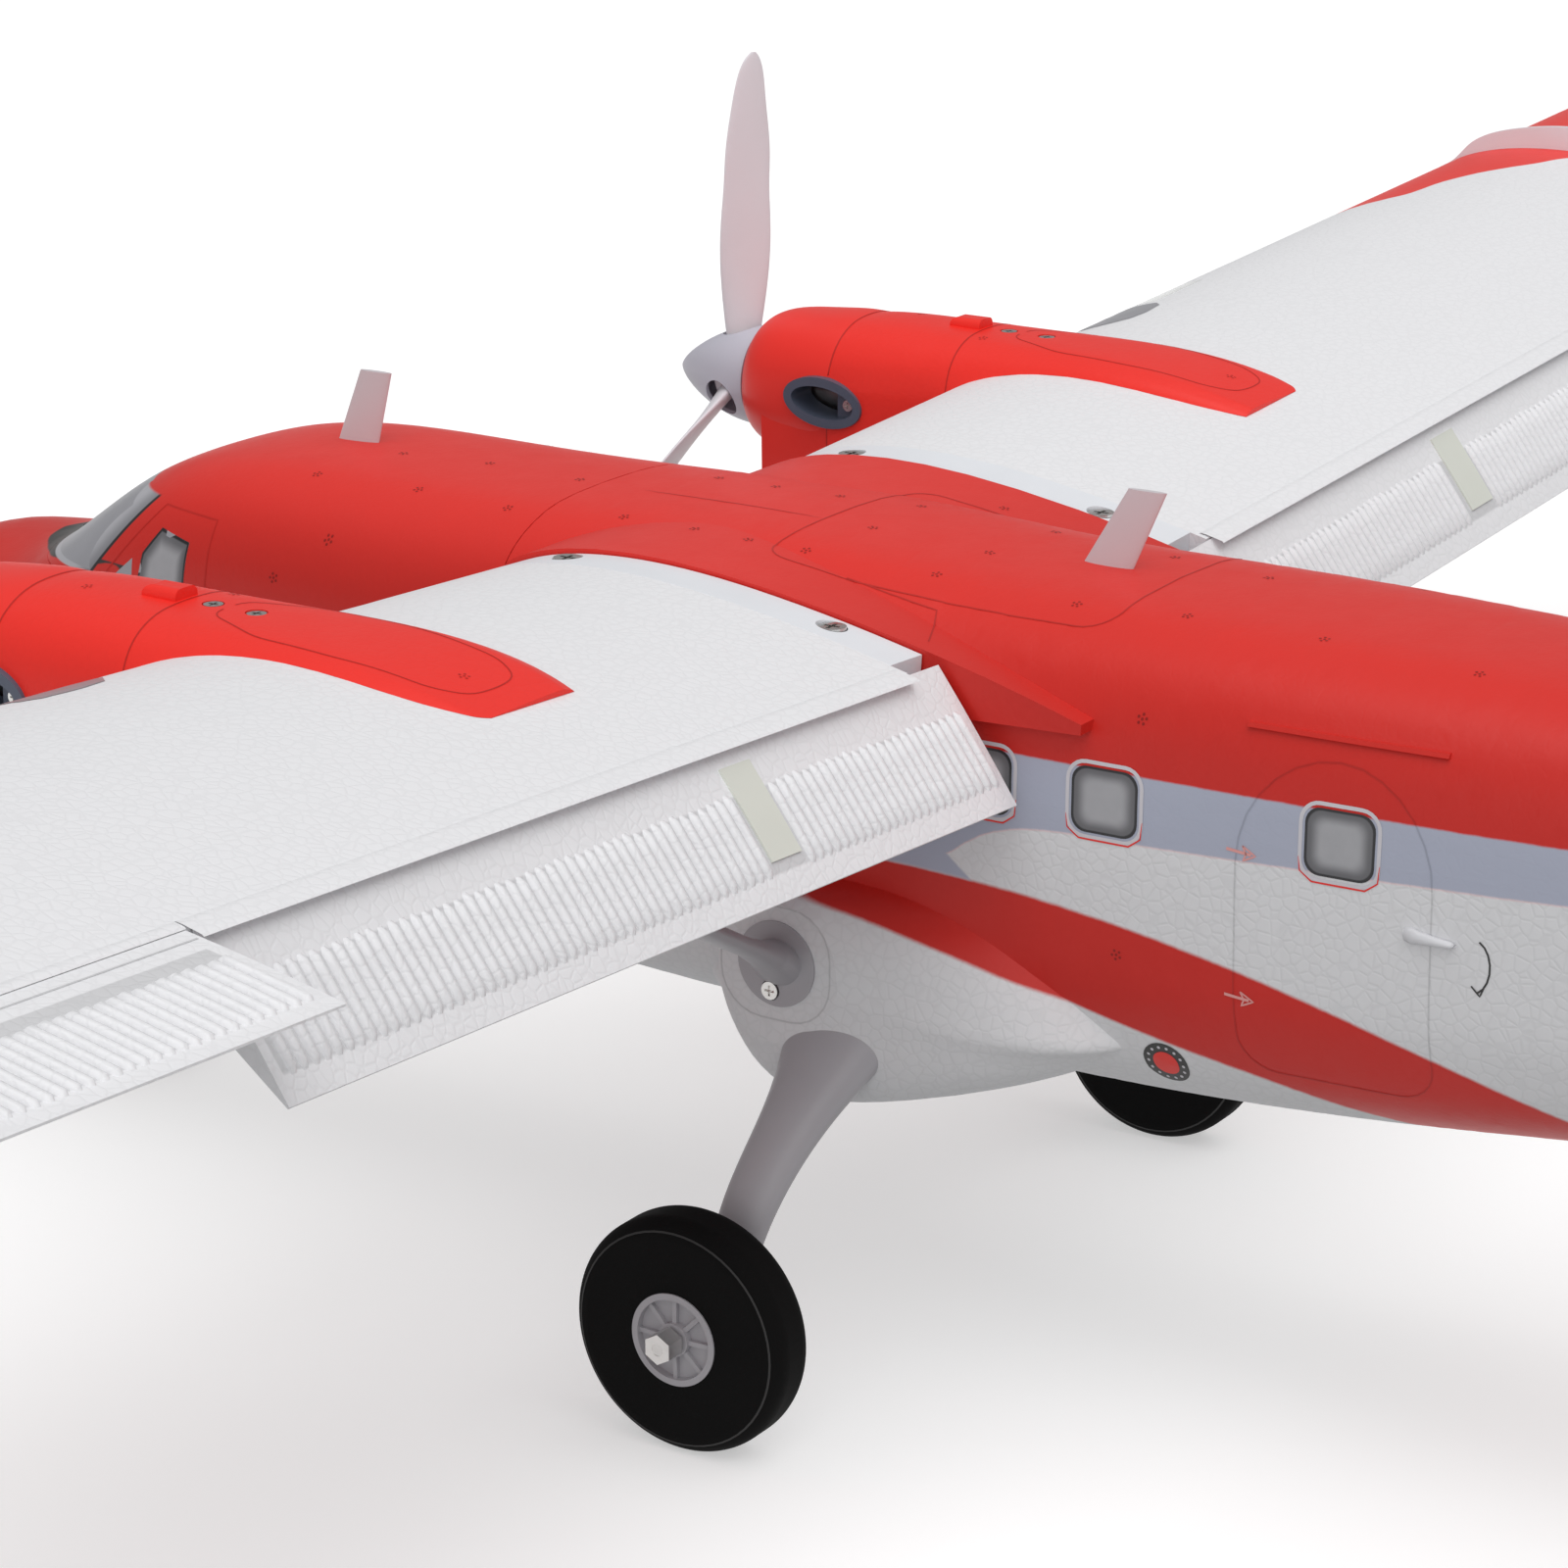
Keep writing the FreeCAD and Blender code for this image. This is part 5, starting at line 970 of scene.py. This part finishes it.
# The lip behind the wing's rear edge: y, height above the wing's own slope. It covers the front of the
# flap, and stops short of the aileron, which swings up.
SHROUD_PROFILE = ((-61.6, -0.05), (-61.0, 0.32), (-59.5, 0.44), (-56.0, 0.44), (-55.0, 0.40), (-54.6, 0.14))
SHORT_PROFILE = ((-61.6, -0.05), (-61.0, 0.32), (-59.5, 0.40), (-58.7, 0.36), (-58.4, 0.05))


def wing_shroud():
    """The thin lip that carries the wing's upper surface on towards the moving surfaces."""
    for word, side in SIDES:
        tree = surface_of(word + "_wing")
        made = Gathered()
        for profile, inner, outer in ((SHROUD_PROFILE, 72.5, 316.3), (SHORT_PROFILE, 316.6, 588.0)):
            points = []
            count = 45
            for row in range(count + 1):
                x = inner + (outer - inner) * row / count
                ahead = landed(tree, *roof_ray(side, x, -67.0), 0.0)[0]
                edge = landed(tree, *roof_ray(side, x, -61.5), 0.0)[0]
                slope = (edge.z - ahead.z) / (edge.y - ahead.y)
                for y, height in profile:
                    z = edge.z + slope * (y * MM - edge.y) + height * MM
                    points.append(Vector((side * x * MM, y * MM, z)))
            made.take(points, grid_faces(count + 1, len(profile)))
        made.build(word + "_wing_shroud", "airframe", "wing", "white_foam")
        name = word + "_aileron"
        line = Gathered()
        # The gap line before the aileron, in a darker copy of the wing paint: painted shade.
        ribbon(line, surface_of(name), [(318.0, -54.6), (586.5, -54.6)], on_roof(side), 0.5, 0.08, step=6.0)
        line.build(name + "_line", BODY_OF[name], "wing_gap_shade", "white_foam")


# The lens top on each wing, seen from above: span, y.
LENS_TOP = [(213.0, -168.5), (219.5, -162.0), (228.0, -161.0), (238.0, -162.2), (241.5, -165.0),
            (242.0, -175.0), (213.0, -175.0)]


def lens_tops():
    """The grey upper edge of each landing light on the leading edge."""
    for word, side in SIDES:
        made = Gathered()
        made.take(*patch_parts(surface_of(word + "_wing"), dense(LENS_TOP, 2.0, True), (228.0, -168.0),
                               on_roof(side), 0.12))
        made.build(word + "_lens_top", "airframe", "glazing", "clear_lens")


def strut_pads():
    """The round-cornered pad line about each strut foot."""
    for word, side in SIDES:
        seam = Gathered()
        ribbon(seam, BODY, rounded_square((-97.5, 101.0), 15.0, 14.0, 11.0), on_side(side), 0.45, 0.06,
               closed=True)
        seam.build(word + "_strut_pad", "airframe", "livery_shade", "white_foam")


# Middle of the main wheels: distance from the middle plane, y, z; and the radius of the ring.
WHEEL_MIDDLE = (113.2, -89.3, 28.5)
TYRE_RING = 25.8


def tyre_lines():
    """A faint ring on each tyre's shoulders, lighter and glossier than the tyre: a painted highlight."""
    x, y, z = WHEEL_MIDDLE
    turns = [2 * math.pi * i / 60 for i in range(60)]
    for word, side in SIDES:
        name = word + "_tyre"
        tree = surface_of(name)
        for face in (1, -1):
            rays = [((side * x * MM + face * 0.05, (y + TYRE_RING * math.cos(turn)) * MM,
                      (z + TYRE_RING * math.sin(turn)) * MM), (-face, 0, 0)) for turn in turns]
            made = Gathered()
            made.take(*strip_parts(tree, rays, 0.5, 0.12, closed=True))
            flank = "outer" if face == side else "inner"
            made.build(f"{name}_ring_{flank}", BODY_OF[name], "tyre_ring_highlight", "foam_tyre")


# ---------------------------------------------------------------- camera, floor and lights

def build_stage():
    camera = bpy.data.cameras.new("camera")
    holder = bpy.data.objects.new("camera", camera)
    bpy.context.scene.collection.objects.link(holder)
    heading, dip = math.radians(32.898), math.radians(17.623)
    forward = Vector((-math.cos(heading) * math.cos(dip), -math.sin(heading) * math.cos(dip),
                      -math.sin(dip)))
    holder.location = (0.87838, 0.43083, 0.45273)
    holder.rotation_euler = forward.to_track_quat("-Z", "Y").to_euler()
    camera.sensor_width = 36.0
    camera.lens = 101.58
    camera.clip_start, camera.clip_end = 0.05, 200.0
    bpy.context.scene.camera = holder

    reach = 60.0
    mesh = bpy.data.meshes.new("floor")
    mesh.from_pydata([(-reach, -reach, 0), (reach, -reach, 0), (reach, reach, 0), (-reach, reach, 0)], [],
                     [(0, 1, 2, 3)])
    floor = bpy.data.objects.new("floor", mesh)
    bpy.context.scene.collection.objects.link(floor)
    floor.visible_diffuse = False
    paper = Finish("floor_paper")
    cloud = paper.noise(400.0, 2.0, 0.5)
    paper.set("Base Color", paper.mix(cloud, (0.69, 0.69, 0.69), (0.71, 0.71, 0.71)))
    paper.set("Roughness", paper.blend(cloud, 0.8, 0.9))
    paper.set("Specular IOR Level", 0.0)
    paper.set("Emission Color", (1.0, 1.0, 1.0))
    paper.set("Emission Strength", 0.44)
    mesh.materials.append(paper.material)

    world = bpy.data.worlds.new("studio")
    world.use_nodes = True
    background = world.node_tree.nodes["Background"]
    background.inputs["Color"].default_value = (1.0, 1.0, 1.0, 1.0)
    background.inputs["Strength"].default_value = 0.33
    bpy.context.scene.world = world

    def sun(name, direction, strength, spread):
        light = bpy.data.lights.new(name, "SUN")
        light.energy = strength
        light.angle = math.radians(spread)
        lamp = bpy.data.objects.new(name, light)
        bpy.context.scene.collection.objects.link(lamp)
        lamp.rotation_euler = Vector(direction).to_track_quat("-Z", "Y").to_euler()

    sun("overhead", (-0.10, -0.25, -1.0), 1.75, 70.0)
    sun("fill", (-0.90, -0.30, -0.25), 0.85, 60.0)
    bpy.context.scene.view_settings.view_transform = "Standard"


cabin_windows()
door()
filler_cap()
cockpit()
roof_seams()
engine_seams()
vents()
ribs()
tags()
wing_shroud()
lens_tops()
strut_pads()
tyre_lines()
build_stage()
